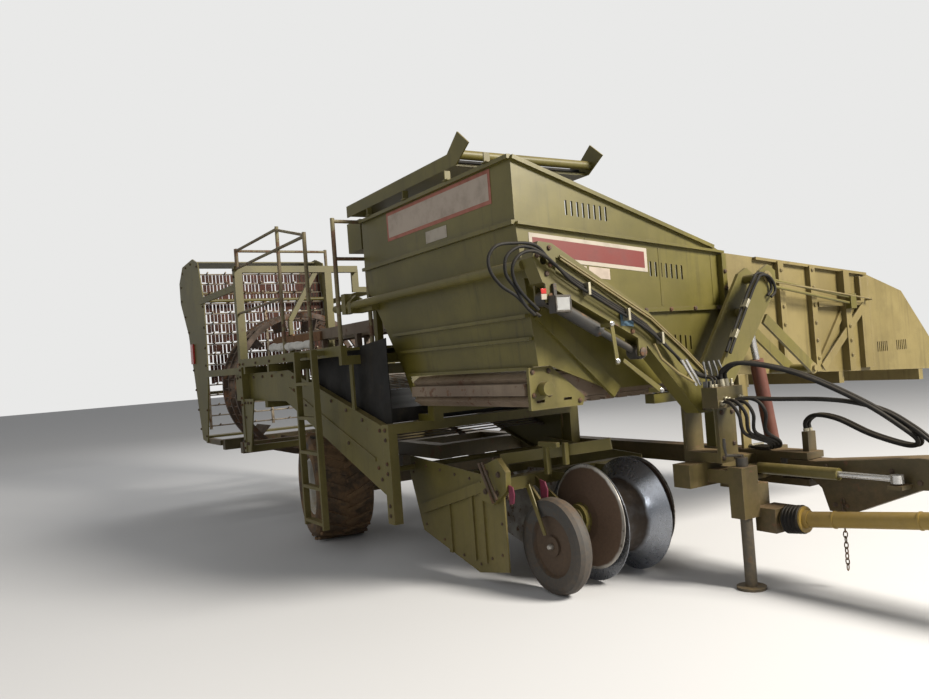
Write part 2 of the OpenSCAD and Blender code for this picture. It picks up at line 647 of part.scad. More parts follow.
module unload_section() color(tan_green) {
    outline = [[500, out_low(500)], [500, 1900], [560, out_top(560)], [2210, out_top(2210)], [2730, 1770],
        [3050, 1430], [y_left, 1320], [y_left, out_low(y_left)]];
    difference() {
        for (x = [out_x0, out_x1 - wall_t]) plate_yz(x, wall_t, outline);
        for (y = [2330, 2600], i = [0:5]) translate([out_x1 - 40, y + i * 26, 1290]) cube([80, 12, 80]);
    }
    // end sheet and rim lips
    box([out_x0 + 4, y_left - wall_t - 2, out_low(y_left) + 3], [out_x1 - 4, y_left - 2, 1316]);
    for (x = [out_x0 - 30, out_x1 - 4]) plate_yz(x, 34, [
        [900, out_top(900) - 2], [2210, out_top(2210) - 2], [2210, out_top(2210) - 22], [900, out_top(900) - 22]]);
    // posts and the diagonal brace
    for (y = [1120, 1480]) box([out_x1 - 4, y, out_low(y) + 3], [out_x1 + 40, y + 60, out_top(y) - 14]);
    box([out_x1 - 4, 1860, out_low(1860) + 3], [out_x1 + 60, 1930, out_top(1930) - 14]);
    beam([out_x1 + 8, 1540, 1230], [out_x1 + 8, 1870, 1612], 50, 24);
    // cross beams underneath
    for (y = [700, 1800, 2900]) box([out_x0 + 3, y, out_low(y) - 90], [out_x1 - 3, y + 60, out_low(y) + 4]);
}

// height of the unloading floor at a place across the machine
function slat_z(y) = 1300 - (y - 660) * 0.05;
module unload_floor() color(rust) {
    y0 = 660;
    y1 = 3060;
    x0 = out_x0 + wall_t + 4;
    x1 = out_x1 - wall_t - 4;
    for (y = [y0, y1]) {
        drum_x(x0, x1, y, slat_z(y), 100);
        drum_x(out_x0 + wall_t + seat, out_x1 - wall_t - seat, y, slat_z(y), 50);
    }
    beam([(x0 + x1) / 2, y0, slat_z(y0)], [(x0 + x1) / 2, y1, slat_z(y1)], 76, x1 - x0 - 4);
    for (i = [0:17]) {
        y = y0 + 40 + i * 130;
        box([x0 + 4, y, slat_z(y) + 30], [x1 - 4, y + 70, slat_z(y) + 58]);
    }
}

// lift cylinder from the drawbar head to the far arm
lift_base = [3225, 670, 700];
lift_eye = [3225, 500, 1640];
module lift_barrel() color(rust) {
    v = (lift_eye - lift_base) / norm(lift_eye - lift_base);
    difference() {
        union() {
            bar(lift_base + v * 95, lift_base + v * 640, 90);
            bar(lift_base + v * 20, lift_base + v * 110, 60);
            drum_x(3190, 3258, lift_base[1], lift_base[2], 90);
        }
        bar(lift_base + v * 60, lift_base + v * 650, 44 + 2 * seat);
        drum_x(3180, 3270, lift_base[1], lift_base[2], 41);
    }
}

module lift_rod() color(steel) {
    v = (lift_eye - lift_base) / norm(lift_eye - lift_base);
    bar(lift_base + v * 190, lift_eye - v * 25, 44);
    difference() {
        drum_x(3194, 3254, lift_eye[1], lift_eye[2], 80);
        drum_x(3190, 3260, lift_eye[1], lift_eye[2], 40);
    }
}

// Digging unit

module digger_frame() color(green) {
    // side plates; the left one is shorter to clear its wheel
    for (p = [[-1000, 2480], [266, 2400]]) plate_xz(p[0], 12,
        [[1240, 660], [1260, 780], [p[1], 700], [p[1], 120], [2140, 60], [1400, 240]]);
    // pivot shaft and cross tubes
    drum_y(dig_x, -1258, 380, dig_z, 43);
    box([2236, -990, 600], [2310, 268, 680]);
    box([1380, -990, 560], [1440, 268, 620]);
    // push arm with its bolted head plate, and ribs on the plate
    beam([1420, -1012, 400], [2270, -1012, 643], 70, 28);
    difference() {
        plate_xz(-1034, 38, [[2260, 560], [2400, 540], [2560, 640], [2570, 760], [2480, 840], [2300, 780]]);
        for (p = [[2330, 620], [2460, 620], [2490, 740], [2360, 740]]) drum_y(p[0], -1040, -990, p[1], 18);
    }
    for (x = [1780, 2080, 2210]) box([x, -1014, 140], [x + 40, -996, 640 - (2250 - x) * 0.25]);
    // arm and shaft of the haulm wheel
    beam([2370, row_y - 460, 640], [2756, row_y - 460, haulm_d / 2 - 19], 56, 16);
    box([2380, -990, 610], [2400, row_y - 455, 690]);
    drum_y(2735, row_y - 545, row_y - 460, haulm_d / 2, 36 - 2 * seat);
    // arms and shafts of the discs
    for (s = [-1, 1]) {
        y = row_y + s * 334;
        beam([2290, y, 640], [2704, y, disc_z - 14], 56, 14);
        drum_y(disc_x, min(y, row_y + s * 262), max(y, row_y + s * 262), disc_z, 40 - 2 * seat);
    }
    // arms and shaft of the roller
    for (y = [row_y - 202, row_y + 194])
        plate_xz(y, 8, [[2290, 620], [2290, 676], [2560, 676], [2680, 410], [2660, 341], [2620, 341], [2530, 620]]);
    drum_y(roller_x, row_y - 198, row_y + 198, diabolo_d / 2, 40 - 2 * seat);
    // lifting arm over the discs
    beam([2280, -860, 800], [2860, -420, 880], 70, 36);
    box([2246, -900, 674], [2304, -820, 790]);
}

// places of the disc and roller axes
disc_x = 2680;
disc_z = 415;
roller_x = 2640;

module digger_share() color(steel) {
    plate_xz(-500, 440, [[1500, 330], [1500, 350], [2200, 90], [2220, 70], [2180, 75]]);
    for (y = [-520, -60]) plate_xz(y, 20, [[1400, 300], [1400, 560 - seat], [1446, 560 - seat], [1460, 582],
        [2200, 600], [2200, 80]]);
}

// dished disc with hub and bearing bore: s gives the side, the dish faces inward
module disc(s) color(rust) {
    translate([disc_x, row_y + s * 270, disc_z]) rotate([-90 * s, 0, 0]) rotate_extrude($fn = 72) polygon([
        [20, -8], [150, -8], [disc_d / 2, -60], [disc_d / 2, -54], [150, 0], [90, 4], [90, 40], [20, 40]]);
}

module diabolo_roller() color(steel) {
    translate([roller_x, row_y, diabolo_d / 2]) rotate([-90, 0, 0]) rotate_extrude($fn = 72) polygon([
        [20, -184], [diabolo_d / 2, -184], [diabolo_d / 2, -178], [235, -110], [235, 90], [diabolo_d / 2, 178],
        [diabolo_d / 2, 184], [20, 184]]);
}

// haulm wheel: cast hub disc with a rubber tyre
module haulm_wheel(s) color(dark) {
    y = row_y + s * 535;
    translate([2735, y, haulm_d / 2]) rotate([-90, 0, 0]) rotate_extrude($fn = 64) polygon([
        [18, -30], [60, -30], [60, -12], [180, -12], [190, -40], [haulm_d / 2 - 45, -52], [haulm_d / 2 - 12, -44],
        [haulm_d / 2, -18], [haulm_d / 2, 18], [haulm_d / 2 - 12, 44], [haulm_d / 2 - 45, 52], [190, 40],
        [180, 12], [60, 12], [60, 30], [18, 30]]);
}

// Drawbar, jack and drive shaft

module drawbar() color(green) {
    difference() {
        union() {
            plate_xz(bar_y - 80, 160, [[3500, 625], [3500, 715], [3700, 715], [4300, 770], [4900, 740], [5100, 730],
                [5100, 640], [4900, 640], [4300, 600], [3900, 430], [3760, 430], [3720, 560], [3640, 625]]);
            translate([pin_x, bar_y, 625]) cylinder(h = 90, d = 160);
            box([5000, bar_y - 45, eye_z - 40], [eye_x - 20, bar_y + 45, eye_z + 40]);
            translate([eye_x, bar_y, eye_z - 24]) cylinder(h = 48, r = eye_r);
        }
        box([eye_x - 60, bar_y - 80, eye_z + 24], [eye_x + 200, bar_y + 80, eye_z + 100]);
        box([eye_x - 60, bar_y - 80, eye_z - 100], [eye_x + 200, bar_y + 80, eye_z - 24]);
        translate([eye_x, bar_y, eye_z - 50]) cylinder(h = 100, d = eye_bore);
        translate([pin_x, bar_y, 600]) cylinder(h = 140, d = 61);
    }
    // lug of the steering cylinder and the hose bracket
    box([4180, bar_y - 185, 610], [4260, bar_y - 80, 632]);
    box([4560, bar_y - 20, 750], [4640, bar_y + 20, 980]);
}

steer_a = [3330, 330, 665];
steer_b = [4220, 345, 665];
module steer_barrel() color(green) {
    v = (steer_b - steer_a) / norm(steer_b - steer_a);
    difference() {
        union() {
            bar(steer_a + v * 30, steer_a + v * 560, 70);
            translate(steer_a - [0, 0, 22]) cylinder(h = 44, d = 70);
        }
        bar(steer_a + v * 50, steer_a + v * 570, 34 + 2 * seat);
        translate(steer_a - [0, 0, 50]) cylinder(h = 100, d = 31);
    }
}

module steer_rod() color(steel) {
    v = (steer_b - steer_a) / norm(steer_b - steer_a);
    bar(steer_a + v * 300, steer_b - v * 25, 34);
    difference() {
        translate(steer_b - [0, 0, 22]) cylinder(h = 44, d = 66);
        translate(steer_b - [0, 0, 50]) cylinder(h = 100, d = 30);
    }
}

module jack_leg() color(dark) {
    translate([3470, 40, 14]) cylinder(h = 760, d = 70);
    translate([3470, 40, 0]) cylinder(h = 16, d = 170);
}

pto_a = [3620, 200, 400];
pto_b = [5200, 330, 560];
module pto_shaft() color(steel) {
    v = (pto_b - pto_a) / norm(pto_b - pto_a);
    bar(pto_a + v * 3, pto_b - v * 89, 40);
    bar(pto_b - v * 100, pto_b, 34);
}

module pto_guard() color([0.75, 0.65, 0.15]) {
    v = (pto_b - pto_a) / norm(pto_b - pto_a);
    difference() {
        union() {
            bar(pto_a + v * 90, pto_b - v * 90, 90);
            bar(pto_a + v * 10.2, pto_a + v * 130, 150);
        }
        bar(pto_a, pto_b, 60);
    }
}

// free hoses: from the valve block forward in a loop and back to their holder
hose_points = [[3460, -60, 1200 + seat], [3460, -60, 1290], [3560, 0, 1330], [3800, 160, 1250], [4080, 300, 1080],
    [4260, 380, 930], [4300, 430, 860], [4220, 470, 830], [4000, 490, 880], [3800, 500, 960], [3660, 500, 980],
    [3590, 500, 940], [3590, 500, 880]];
function hose_route(h) = [for (i = [0:len(hose_points) - 1]) hose_points[i] + [0, 36 * h, 0]];
module hydraulic_hoses() color(dark) for (h = [0:1]) sweep(hose_route(h), 26);

at_frame() chassis();
at_frame() axle_beam();
at_frame() steering_rack();
at_frame() knuckle(-1);  // knuckle_right
at_frame() knuckle(1);  // knuckle_left
at_frame() rim(-1);  // rim_right
at_frame() rim(1);  // rim_left
at_frame() tyre(-1);  // tyre_right
at_frame() tyre(1);  // tyre_left
at_frame() web_channel();
at_frame() web_rods();
at_frame() front_portal();
at_frame() rubber_curtain();
at_frame() platform();
at_frame() picking_table();
at_frame() portal_frame();
at_frame() handrails();
at_frame() grab_rails();
at_frame() ladder();
at_frame() elevator_housing();
at_frame() elevator_web();
at_frame() ring_elevator();
at_frame() ring_pockets();
at_frame() ring_carrier();
at_frame() hopper();
at_frame() hopper_frame();
at_frame() hopper_floor();
at_frame() floor_drive();
at_frame() near_arm();
at_frame() arm_cylinder();
at_frame() infeed_head();
at_frame() infeed_belt();
at_frame() hub_pedestal();
at_frame() far_arm();
at_frame() unload_section();
at_frame() unload_floor();
at_frame() lift_barrel();
at_frame() lift_rod();
at_frame() digger_frame();
at_frame() digger_share();
at_frame() disc(-1);  // disc_right
at_frame() disc(1);  // disc_left
at_frame() diabolo_roller();
at_frame() haulm_wheel(-1);  // haulm_wheel_right
at_frame() drawbar();
at_frame() steer_barrel();
at_frame() steer_rod();
at_frame() jack_leg();
at_frame() pto_shaft();
at_frame() pto_guard();
at_frame() hydraulic_hoses();
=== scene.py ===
"""Dresses the potato harvester: worn paint, steel and rubber, hoses, fittings and the stage."""

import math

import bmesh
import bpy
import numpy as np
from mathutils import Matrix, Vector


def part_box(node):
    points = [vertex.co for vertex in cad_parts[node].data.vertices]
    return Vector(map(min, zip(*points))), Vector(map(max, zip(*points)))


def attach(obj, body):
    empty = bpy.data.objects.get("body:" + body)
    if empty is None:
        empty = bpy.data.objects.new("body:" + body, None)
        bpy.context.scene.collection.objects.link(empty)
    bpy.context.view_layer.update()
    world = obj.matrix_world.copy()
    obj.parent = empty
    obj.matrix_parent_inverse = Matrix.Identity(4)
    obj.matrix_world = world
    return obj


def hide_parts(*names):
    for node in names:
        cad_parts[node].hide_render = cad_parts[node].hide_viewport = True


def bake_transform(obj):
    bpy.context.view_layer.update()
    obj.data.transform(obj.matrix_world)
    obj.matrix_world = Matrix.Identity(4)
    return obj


bl_info = {
    "name": "Potato harvester dresser",
    "version": (1, 0, 0),
    "blender": (4, 5, 0),
    "location": "3D View > Sidebar > Harvester",
    "description": "Adds paint, wear, hoses and small fittings to the harvester's frame",
    "category": "Object",
}

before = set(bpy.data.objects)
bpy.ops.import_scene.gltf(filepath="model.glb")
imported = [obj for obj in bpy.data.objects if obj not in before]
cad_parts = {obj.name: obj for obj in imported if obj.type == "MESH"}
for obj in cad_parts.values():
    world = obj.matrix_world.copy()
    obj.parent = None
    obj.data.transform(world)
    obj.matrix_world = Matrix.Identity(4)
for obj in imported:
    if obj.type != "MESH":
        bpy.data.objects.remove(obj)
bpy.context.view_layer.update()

# The drawing frame: millimetres from the floor under the middle of the axle, X forward, Y left, Z up
DRAWING_ORIGIN = np.array([500.0, 830.0, 0.0])
AHEAD = (1, 0, 0)
LEFT = (0, 1, 0)
RIGHT = (0, -1, 0)
UP = (0, 0, 1)

# The photograph: its width and the distance of its eye point, both in pixels
PICTURE_WIDTH = 929.0
EYE_DISTANCE = 800.0

# The rod web: its two sides across the machine
WEB_RIGHT = -1214
WEB_LEFT = 262


def metres(points):
    """Drawing points to the model's frame: shift to the outline's middle and divide by a thousand."""
    return (np.asarray(points, float) - DRAWING_ORIGIN) / 1000


def corners(node):
    """A node's lowest and highest corner in the drawing frame."""
    lo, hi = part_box(node)
    return np.array(lo) * 1000 + DRAWING_ORIGIN, np.array(hi) * 1000 + DRAWING_ORIGIN


class HarvesterSizes(bpy.types.PropertyGroup):
    """Sizes of the pieces that the dresser adds"""
    hose_diameter: bpy.props.FloatProperty(
        name="Hose diameter", description="Outer diameter of a hydraulic hose", default=0.026,
        unit="LENGTH")
    bolt_width: bpy.props.FloatProperty(
        name="Bolt width", description="Width across the flats of a frame bolt", default=0.024,
        unit="LENGTH")
    sign_border: bpy.props.FloatProperty(
        name="Sign border", description="Width of the painted border of a sign", default=0.024,
        unit="LENGTH")
    finger_length: bpy.props.FloatProperty(
        name="Finger length", description="Length of a rubber finger on the haulm web",
        default=0.112, unit="LENGTH")


class HarvesterColours(bpy.types.PropertyGroup):
    """Colours of the harvester's finishes"""
    olive: bpy.props.FloatVectorProperty(
        name="Olive paint", description="Main paint", default=(0.068, 0.058, 0.006), subtype="COLOR")
    olive_faded: bpy.props.FloatVectorProperty(
        name="Faded olive", description="Sun-bleached main paint", default=(0.105, 0.089, 0.013),
        subtype="COLOR")
    # tan: a lighter, browner copy of the olive paint, its lightness painted sunlight
    tan: bpy.props.FloatVectorProperty(
        name="Tan paint", description="Paint of the unloading section",
        default=(0.125, 0.097, 0.032), subtype="COLOR")
    dust: bpy.props.FloatVectorProperty(
        name="Field dust", description="Dry soil that lies on the machine",
        default=(0.25, 0.18, 0.088), subtype="COLOR")
    soil: bpy.props.FloatVectorProperty(
        name="Soil", description="Soil caked on tools and tyres", default=(0.19, 0.118, 0.062),
        subtype="COLOR")
    rust: bpy.props.FloatVectorProperty(
        name="Rust", description="Rust on bare and chipped steel", default=(0.085, 0.042, 0.022),
        subtype="COLOR")
    sign_red: bpy.props.FloatVectorProperty(
        name="Sign red", description="Red of the blank signs", default=(0.115, 0.011, 0.007),
        subtype="COLOR")


# Surfaces

def grid_faces(rows, columns, close_rows=False, close_columns=False):
    """Quads of a grid of points that is numbered row by row, joined round where it closes."""
    i, j = np.meshgrid(np.arange(rows if close_rows else rows - 1),
                       np.arange(columns if close_columns else columns - 1), indexing="ij")
    i2 = (i + 1) % rows
    j2 = (j + 1) % columns
    quads = np.stack([i * columns + j, i2 * columns + j, i2 * columns + j2, i * columns + j2], -1)
    return quads.reshape(-1, 4).tolist()


def joined(*shapes):
    """Several (points, faces) as one, each one's face numbers moved past the points before it."""
    points, faces, count = [], [], 0
    for p, f in shapes:
        points.append(np.asarray(p, float).reshape(-1, 3))
        faces += [[k + count for k in face] for face in f]
        count += len(points[-1])
    return np.concatenate(points), faces


def tube(path, radius, sides=10):
    """Rings centre + radius * (u cos a + w sin a) along a path, u and w square to it; ends closed."""
    path = np.asarray(path, float)
    along = np.gradient(path, axis=0)
    along /= np.linalg.norm(along, axis=1)[:, None]
    u = np.cross(along, [0.13, 0.21, 0.97])
    u /= np.linalg.norm(u, axis=1)[:, None]
    w = np.cross(along, u)
    a = np.linspace(0, 2 * math.pi, sides, endpoint=False)
    r = np.broadcast_to(np.asarray(radius, float), len(path))[:, None, None]
    ring = u[:, None] * np.cos(a)[None, :, None] + w[:, None] * np.sin(a)[None, :, None]
    points = (path[:, None] + r * ring).reshape(-1, 3)
    faces = grid_faces(len(path), sides, close_columns=True)
    last = (len(path) - 1) * sides
    return points, faces + [list(range(sides)), list(range(last + sides - 1, last - 1, -1))]


def turned(profile, centre=(0, 0, 0), axis=UP, sides=24):
    """Points (r cos a, r sin a, h) of a profile, turned so that h runs along the axis; ends closed."""
    profile = np.asarray(profile, float)
    a = np.linspace(0, 2 * math.pi, sides, endpoint=False)
    r, h = profile[:, 0], profile[:, 1]
    local = np.stack([np.outer(r, np.cos(a)), np.outer(r, np.sin(a)), np.outer(h, np.ones(sides))], -1)
    points = local.reshape(-1, 3) @ upright(axis).T + np.asarray(centre, float)
    faces = grid_faces(len(profile), sides, close_columns=True)
    last = (len(profile) - 1) * sides
    return points, faces + [list(range(sides)), list(range(last + sides - 1, last - 1, -1))]


def closed_ring(shape, sides):
    """A turned profile joined back onto its own start in place of the two flat ends."""
    points, faces = shape
    rows = len(points) // sides
    return points, grid_faces(rows, sides, True, True)


def upright(axis):
    """Turning matrix whose third column is the axis and whose others are square to it."""
    z = np.asarray(axis, float)
    z = z / np.linalg.norm(z)
    x = np.cross([0.31, 0.17, 0.93] if abs(z[2]) < 0.9 else [1.0, 0.1, 0.0], z)
    x /= np.linalg.norm(x)
    return np.stack([x, np.cross(z, x), z], 1)


def closed_loop(path, radius, sides=8):
    """Tube round a closed path: rings square to the path's direction, joined on both ways round."""
    path = np.asarray(path, float)
    along = np.roll(path, -1, 0) - np.roll(path, 1, 0)
    along /= np.linalg.norm(along, axis=1)[:, None]
    flat = np.cross(path[1] - path[0], path[5] - path[0])
    flat /= np.linalg.norm(flat)
    side = np.cross(along, flat)
    a = np.linspace(0, 2 * math.pi, sides, endpoint=False)
    ring = side[:, None] * np.cos(a)[None, :, None] + flat[None, None] * np.sin(a)[None, :, None]
    return (path[:, None] + radius * ring).reshape(-1, 3), grid_faces(len(path), sides, True, True)


def slab(outline, origin, across, up, thickness):
    """Outline of (s, t) points at origin + s * across + t * up, raised by a thickness; ends closed."""
    across, up = np.asarray(across, float), np.asarray(up, float)
    normal = np.cross(across, up)
    normal /= np.linalg.norm(normal)
    outline = np.asarray(outline, float)
    low = np.asarray(origin, float) + outline[:, :1] * across + outline[:, 1:] * up
    n = len(outline)
    faces = [[k, (k + 1) % n, n + (k + 1) % n, n + k] for k in range(n)]
    return np.concatenate([low, low + normal * thickness]), faces + [list(range(n))[::-1],
                                                                     list(range(n, 2 * n))]


def rectangle(left, low, right, high):
    """Outline of a rectangle from its sides."""
    return [[left, low], [right, low], [right, high], [left, high]]


def block(lo, hi):
    """Six-sided block from its lowest to its highest corner, as a raised outline."""
    lo = np.asarray(lo, float)
    size = np.asarray(hi, float) - lo
    return slab(rectangle(0, 0, size[0], size[1]), lo, AHEAD, LEFT, size[2])


def placed(shape, points, axis):
    """A shape made round the Z axis, copied to each point with its Z along the axis."""
    p, f = shape
    turn = upright(axis)
    base = np.asarray(p, float) @ turn.T
    points = np.asarray(points, float).reshape(-1, 3)
    all_points = (points[:, None] + base[None]).reshape(-1, 3)
    return all_points, [[k + i * len(base) for k in face] for i in range(len(points)) for face in f]


def curve_through(points, per_span=8):
    """Smooth path: on each span the cubic whose end slopes are half the neighbours' difference."""
    p = np.asarray(points, float)
    slope = np.gradient(p, axis=0)
    t = np.linspace(0, 1, per_span, endpoint=False)[None, :, None]
    a, b, m0, m1 = p[:-1, None], p[1:, None], slope[:-1, None], slope[1:, None]
    span = ((2 * t ** 3 - 3 * t ** 2 + 1) * a + (t ** 3 - 2 * t ** 2 + t) * m0
            + (-2 * t ** 3 + 3 * t ** 2) * b + (t ** 3 - t ** 2) * m1)
    return np.concatenate([span.reshape(-1, 3), p[-1:]])


def on_side(y, *places):
    """Points of a face that looks sideways, from its place across the machine and (x, z) pairs."""
    return [(x, y, z) for x, z in places]


def on_front(x, *places):
    """Points of a face that looks ahead, from its place along the machine and (y, z) pairs."""
    return [(x, y, z) for y, z in places]


def bolt(width):
    """Hexagonal head of the given width on a round washer, its base at height 0."""
    r = width / 2
    washer = turned([[0, 0], [r * 1.3, 0], [r * 1.3, r * 0.16], [0, r * 0.16]], sides=14)
    head = turned([[0, r * 0.16], [r * 1.12, r * 0.16], [r * 1.12, r * 0.75], [r * 0.9, r * 0.9],
                   [0, r * 0.9]], sides=6)
    end = turned([[0, r * 0.88], [r * 0.5, r * 0.88], [r * 0.46, r * 1.15], [0, r * 1.15]], sides=8)
    return joined(washer, head, end)


def make(name, shape, finish, body, bevel=0.0, smooth=35.0):
    """Puts a shape into an object in metres, with its finish and, if one, the body it rides on."""
    points, faces = shape
    mesh = bpy.data.meshes.new(name)
    mesh.from_pydata(metres(points).tolist(), [], faces)
    bm = bmesh.new()
    bm.from_mesh(mesh)
    bmesh.ops.remove_doubles(bm, verts=bm.verts, dist=1e-6)
    bmesh.ops.recalc_face_normals(bm, faces=bm.faces)
    bm.to_mesh(mesh)
    bm.free()
    mesh.validate()
    mesh.shade_smooth()
    mesh.set_sharp_from_angle(angle=math.radians(smooth))
    obj = bpy.data.objects.new(name, mesh)
    bpy.context.scene.collection.objects.link(obj)
    mesh.materials.append(FINISHES[finish])
    if bevel:
        edge = obj.modifiers.new("Bevel", "BEVEL")
        edge.width = bevel
        edge.segments = 2
        edge.limit_method = "ANGLE"
        edge.angle_limit = math.radians(40)
    if body:
        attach(obj, body)
    return obj


# Finishes

FINISHES = {}
GROUPS = {}


def add(tree, kind, settings=None, **inputs):
    """Adds a shader node; each input is a value or another node's output socket."""
    made = tree.nodes.new("ShaderNode" + kind)
    for key, value in (settings or {}).items():
        setattr(made, key, value)
    for key, value in inputs.items():
        numbered = key[0] == "i" and key[1:].isdigit()
        socket = made.inputs[int(key[1:]) if numbered else key.replace("_", " ")]
        if isinstance(value, bpy.types.NodeSocket):
            tree.links.new(value, socket)
        else:
            socket.default_value = value
    return made


def new_group(name, inputs, outputs):
    """Shader node group with numbers in and out; returns it, its inputs inside it and its output node."""
    group = bpy.data.node_groups.new(name, "ShaderNodeTree")
    for title, default in inputs.items():
        socket = group.interface.new_socket(name=title, in_out="INPUT", socket_type="NodeSocketFloat")
        socket.default_value = default
    for title in outputs:
        group.interface.new_socket(name=title, in_out="OUTPUT", socket_type="NodeSocketFloat")
    entry = group.nodes.new("NodeGroupInput")
    end = group.nodes.new("NodeGroupOutput")
    return group, entry.outputs, end


def noise(tree, scale, detail=4.0, vector=None, roughness=0.55):
    """Noise value on Object coordinates, or on a given vector."""
    if vector is None:
        vector = add(tree, "TexCoord").outputs["Object"]
    return add(tree, "TexNoise", Vector=vector, Scale=scale, Detail=detail,
               Roughness=roughness).outputs["Fac"]


def step_mask(tree, value, low, high):
    """Smooth mask that is 0 below low and 1 above high."""
    return add(tree, "MapRange", {"interpolation_type": "SMOOTHSTEP"}, Value=value, i1=low,
               i2=high).outputs["Result"]


def maths(tree, operation, a, b=0.0, clamp=False):
    """Result of one operation on two values."""
    return add(tree, "Math", {"operation": operation, "use_clamp": clamp}, i0=a, i1=b).outputs[0]


def times(tree, a, b, clamp=False):
    """Product of two values."""
    return maths(tree, "MULTIPLY", a, b, clamp)


def plus(tree, a, b, clamp=False):
    """Sum of two values."""
    return maths(tree, "ADD", a, b, clamp)


def mix(tree, factor, a, b):
    """Two colours mixed by a factor."""
    made = add(tree, "Mix", {"data_type": "RGBA"}, i0=factor, i6=a, i7=b)
    return made.outputs[2]


def rgba(colour, share=1.0):
    """A colour with its alpha, darkened by a share."""
    return (colour[0] * share, colour[1] * share, colour[2] * share, 1.0)


def build_groups():
    """Edge wear, settled dust, streaks, rust and the ring band, each a group built once."""
    # edge wear: where a rounded normal leaves the face's own normal, broken up by noise
    g, inp, out = new_group("Edge wear", {"Width": 0.006, "Amount": 0.6}, ["Mask"])
    geo = add(g, "NewGeometry")
    rounded = add(g, "Bevel", {"samples": 3}, Radius=inp["Width"])
    same = add(g, "VectorMath", {"operation": "DOT_PRODUCT"}, i0=rounded.outputs[0],
               i1=geo.outputs["Normal"])
    edge = step_mask(g, maths(g, "SUBTRACT", 1.0, same.outputs["Value"]), 0.004, 0.09)
    broken = step_mask(g, noise(g, 22.0, 5.0), 0.42, 0.6)
    worn = times(g, times(g, edge, broken), inp["Amount"], clamp=True)
    g.links.new(worn, out.inputs["Mask"])
    GROUPS["wear"] = g

    # dust: lies on faces that look up, gathers low down and in broad patches
    g, inp, out = new_group("Settled dust", {"Amount": 0.5, "Reach": 1.1}, ["Mask"])
    geo = add(g, "NewGeometry")
    up = add(g, "SeparateXYZ", Vector=geo.outputs["Normal"]).outputs["Z"]
    height = add(g, "SeparateXYZ", Vector=add(g, "TexCoord").outputs["Object"]).outputs["Z"]
    low_down = add(g, "MapRange", {"interpolation_type": "SMOOTHSTEP"}, Value=height, i1=inp["Reach"],
                   i2=0.0)
    lying = step_mask(g, up, 0.15, 0.95)
    patches = step_mask(g, noise(g, 3.1, 6.0, roughness=0.65), 0.36, 0.66)
    fine = step_mask(g, noise(g, 38.0, 5.0, roughness=0.7), 0.32, 0.7)
    gathered = plus(g, times(g, lying, 0.75), times(g, low_down.outputs[0], 0.55))
    gathered = plus(g, gathered, times(g, patches, 0.22))
    shaped = times(g, gathered, plus(g, 0.45, times(g, fine, 0.6)))
    g.links.new(times(g, shaped, inp["Amount"], clamp=True), out.inputs["Mask"])
    GROUPS["dust"] = g

    # streaks: noise drawn out along Z, where rain has run down
    g, inp, out = new_group("Rain streaks", {"Amount": 0.4}, ["Mask"])
    long = add(g, "Mapping", Vector=add(g, "TexCoord").outputs["Object"], Scale=(26.0, 26.0, 1.1))
    run = step_mask(g, noise(g, 1.0, 5.0, long.outputs[0], 0.62), 0.5, 0.72)
    where = step_mask(g, noise(g, 1.6, 2.0), 0.35, 0.62)
    g.links.new(times(g, times(g, run, where), inp["Amount"]), out.inputs["Mask"])
    GROUPS["streaks"] = g

    # rust: spots where fine and coarse noise are both high
    g, inp, out = new_group("Rust spots", {"Amount": 0.3, "Scale": 14.0}, ["Mask", "Shade"])
    spots = noise(g, inp["Scale"], 8.0, roughness=0.7)
    broad = noise(g, 1.9, 3.0)
    both = plus(g, times(g, spots, 0.7), times(g, broad, 0.3))
    limit = maths(g, "SUBTRACT", 0.68, times(g, inp["Amount"], 0.34))
    g.links.new(step_mask(g, both, limit, plus(g, limit, 0.045)), out.inputs["Mask"])
    g.links.new(noise(g, 60.0, 6.0, roughness=0.75), out.inputs["Shade"])
    GROUPS["rust"] = g

    # distance from an axis that runs across the machine
    g, inp, out = new_group("Ring band", {"Centre X": 0.0, "Centre Z": 0.0, "Inner": 0.1,
                                          "Outer": 0.12}, ["Mask", "Turning"])
    place = add(g, "SeparateXYZ", Vector=add(g, "TexCoord").outputs["Object"])
    dx = maths(g, "SUBTRACT", place.outputs["X"], inp["Centre X"])
    dz = maths(g, "SUBTRACT", place.outputs["Z"], inp["Centre Z"])
    r = maths(g, "SQRT", plus(g, times(g, dx, dx), times(g, dz, dz)))
    wave = plus(g, r, times(g, maths(g, "SUBTRACT", noise(g, 9.0, 4.0), 0.5), 0.03))
    g.links.new(step_mask(g, wave, inp["Inner"], inp["Outer"]), out.inputs["Mask"])
    turning = add(g, "TexNoise", {"noise_dimensions": "1D"}, W=times(g, r, 420.0), Scale=1.0, Detail=3.0)
    g.links.new(turning.outputs["Fac"], out.inputs["Turning"])
    GROUPS["band"] = g


def place_group(tree, group, **inputs):
    """Places a node group in a material with its own values."""
    return add(tree, "Group", {"node_tree": GROUPS[group]}, **inputs).outputs


def new_finish(name):
    """Material with an empty tree, its Principled shader and output."""
    material = bpy.data.materials.new(name)
    material.use_nodes = True
    tree = material.node_tree
    tree.nodes.clear()
    shader = tree.nodes.new("ShaderNodeBsdfPrincipled")
    end = tree.nodes.new("ShaderNodeOutputMaterial")
    tree.links.new(shader.outputs[0], end.inputs[0])
    FINISHES[name] = material
    return tree, shader


def finish_surface(tree, shader, colour, rough, height, strength=0.3, distance=0.002):
    """Feeds colour, roughness and a bump of the height to the shader."""
    tree.links.new(colour, shader.inputs["Base Color"])
    tree.links.new(rough, shader.inputs["Roughness"])
    bump = add(tree, "Bump", Strength=strength, Distance=distance, Height=height)
    tree.links.new(bump.outputs[0], shader.inputs["Normal"])


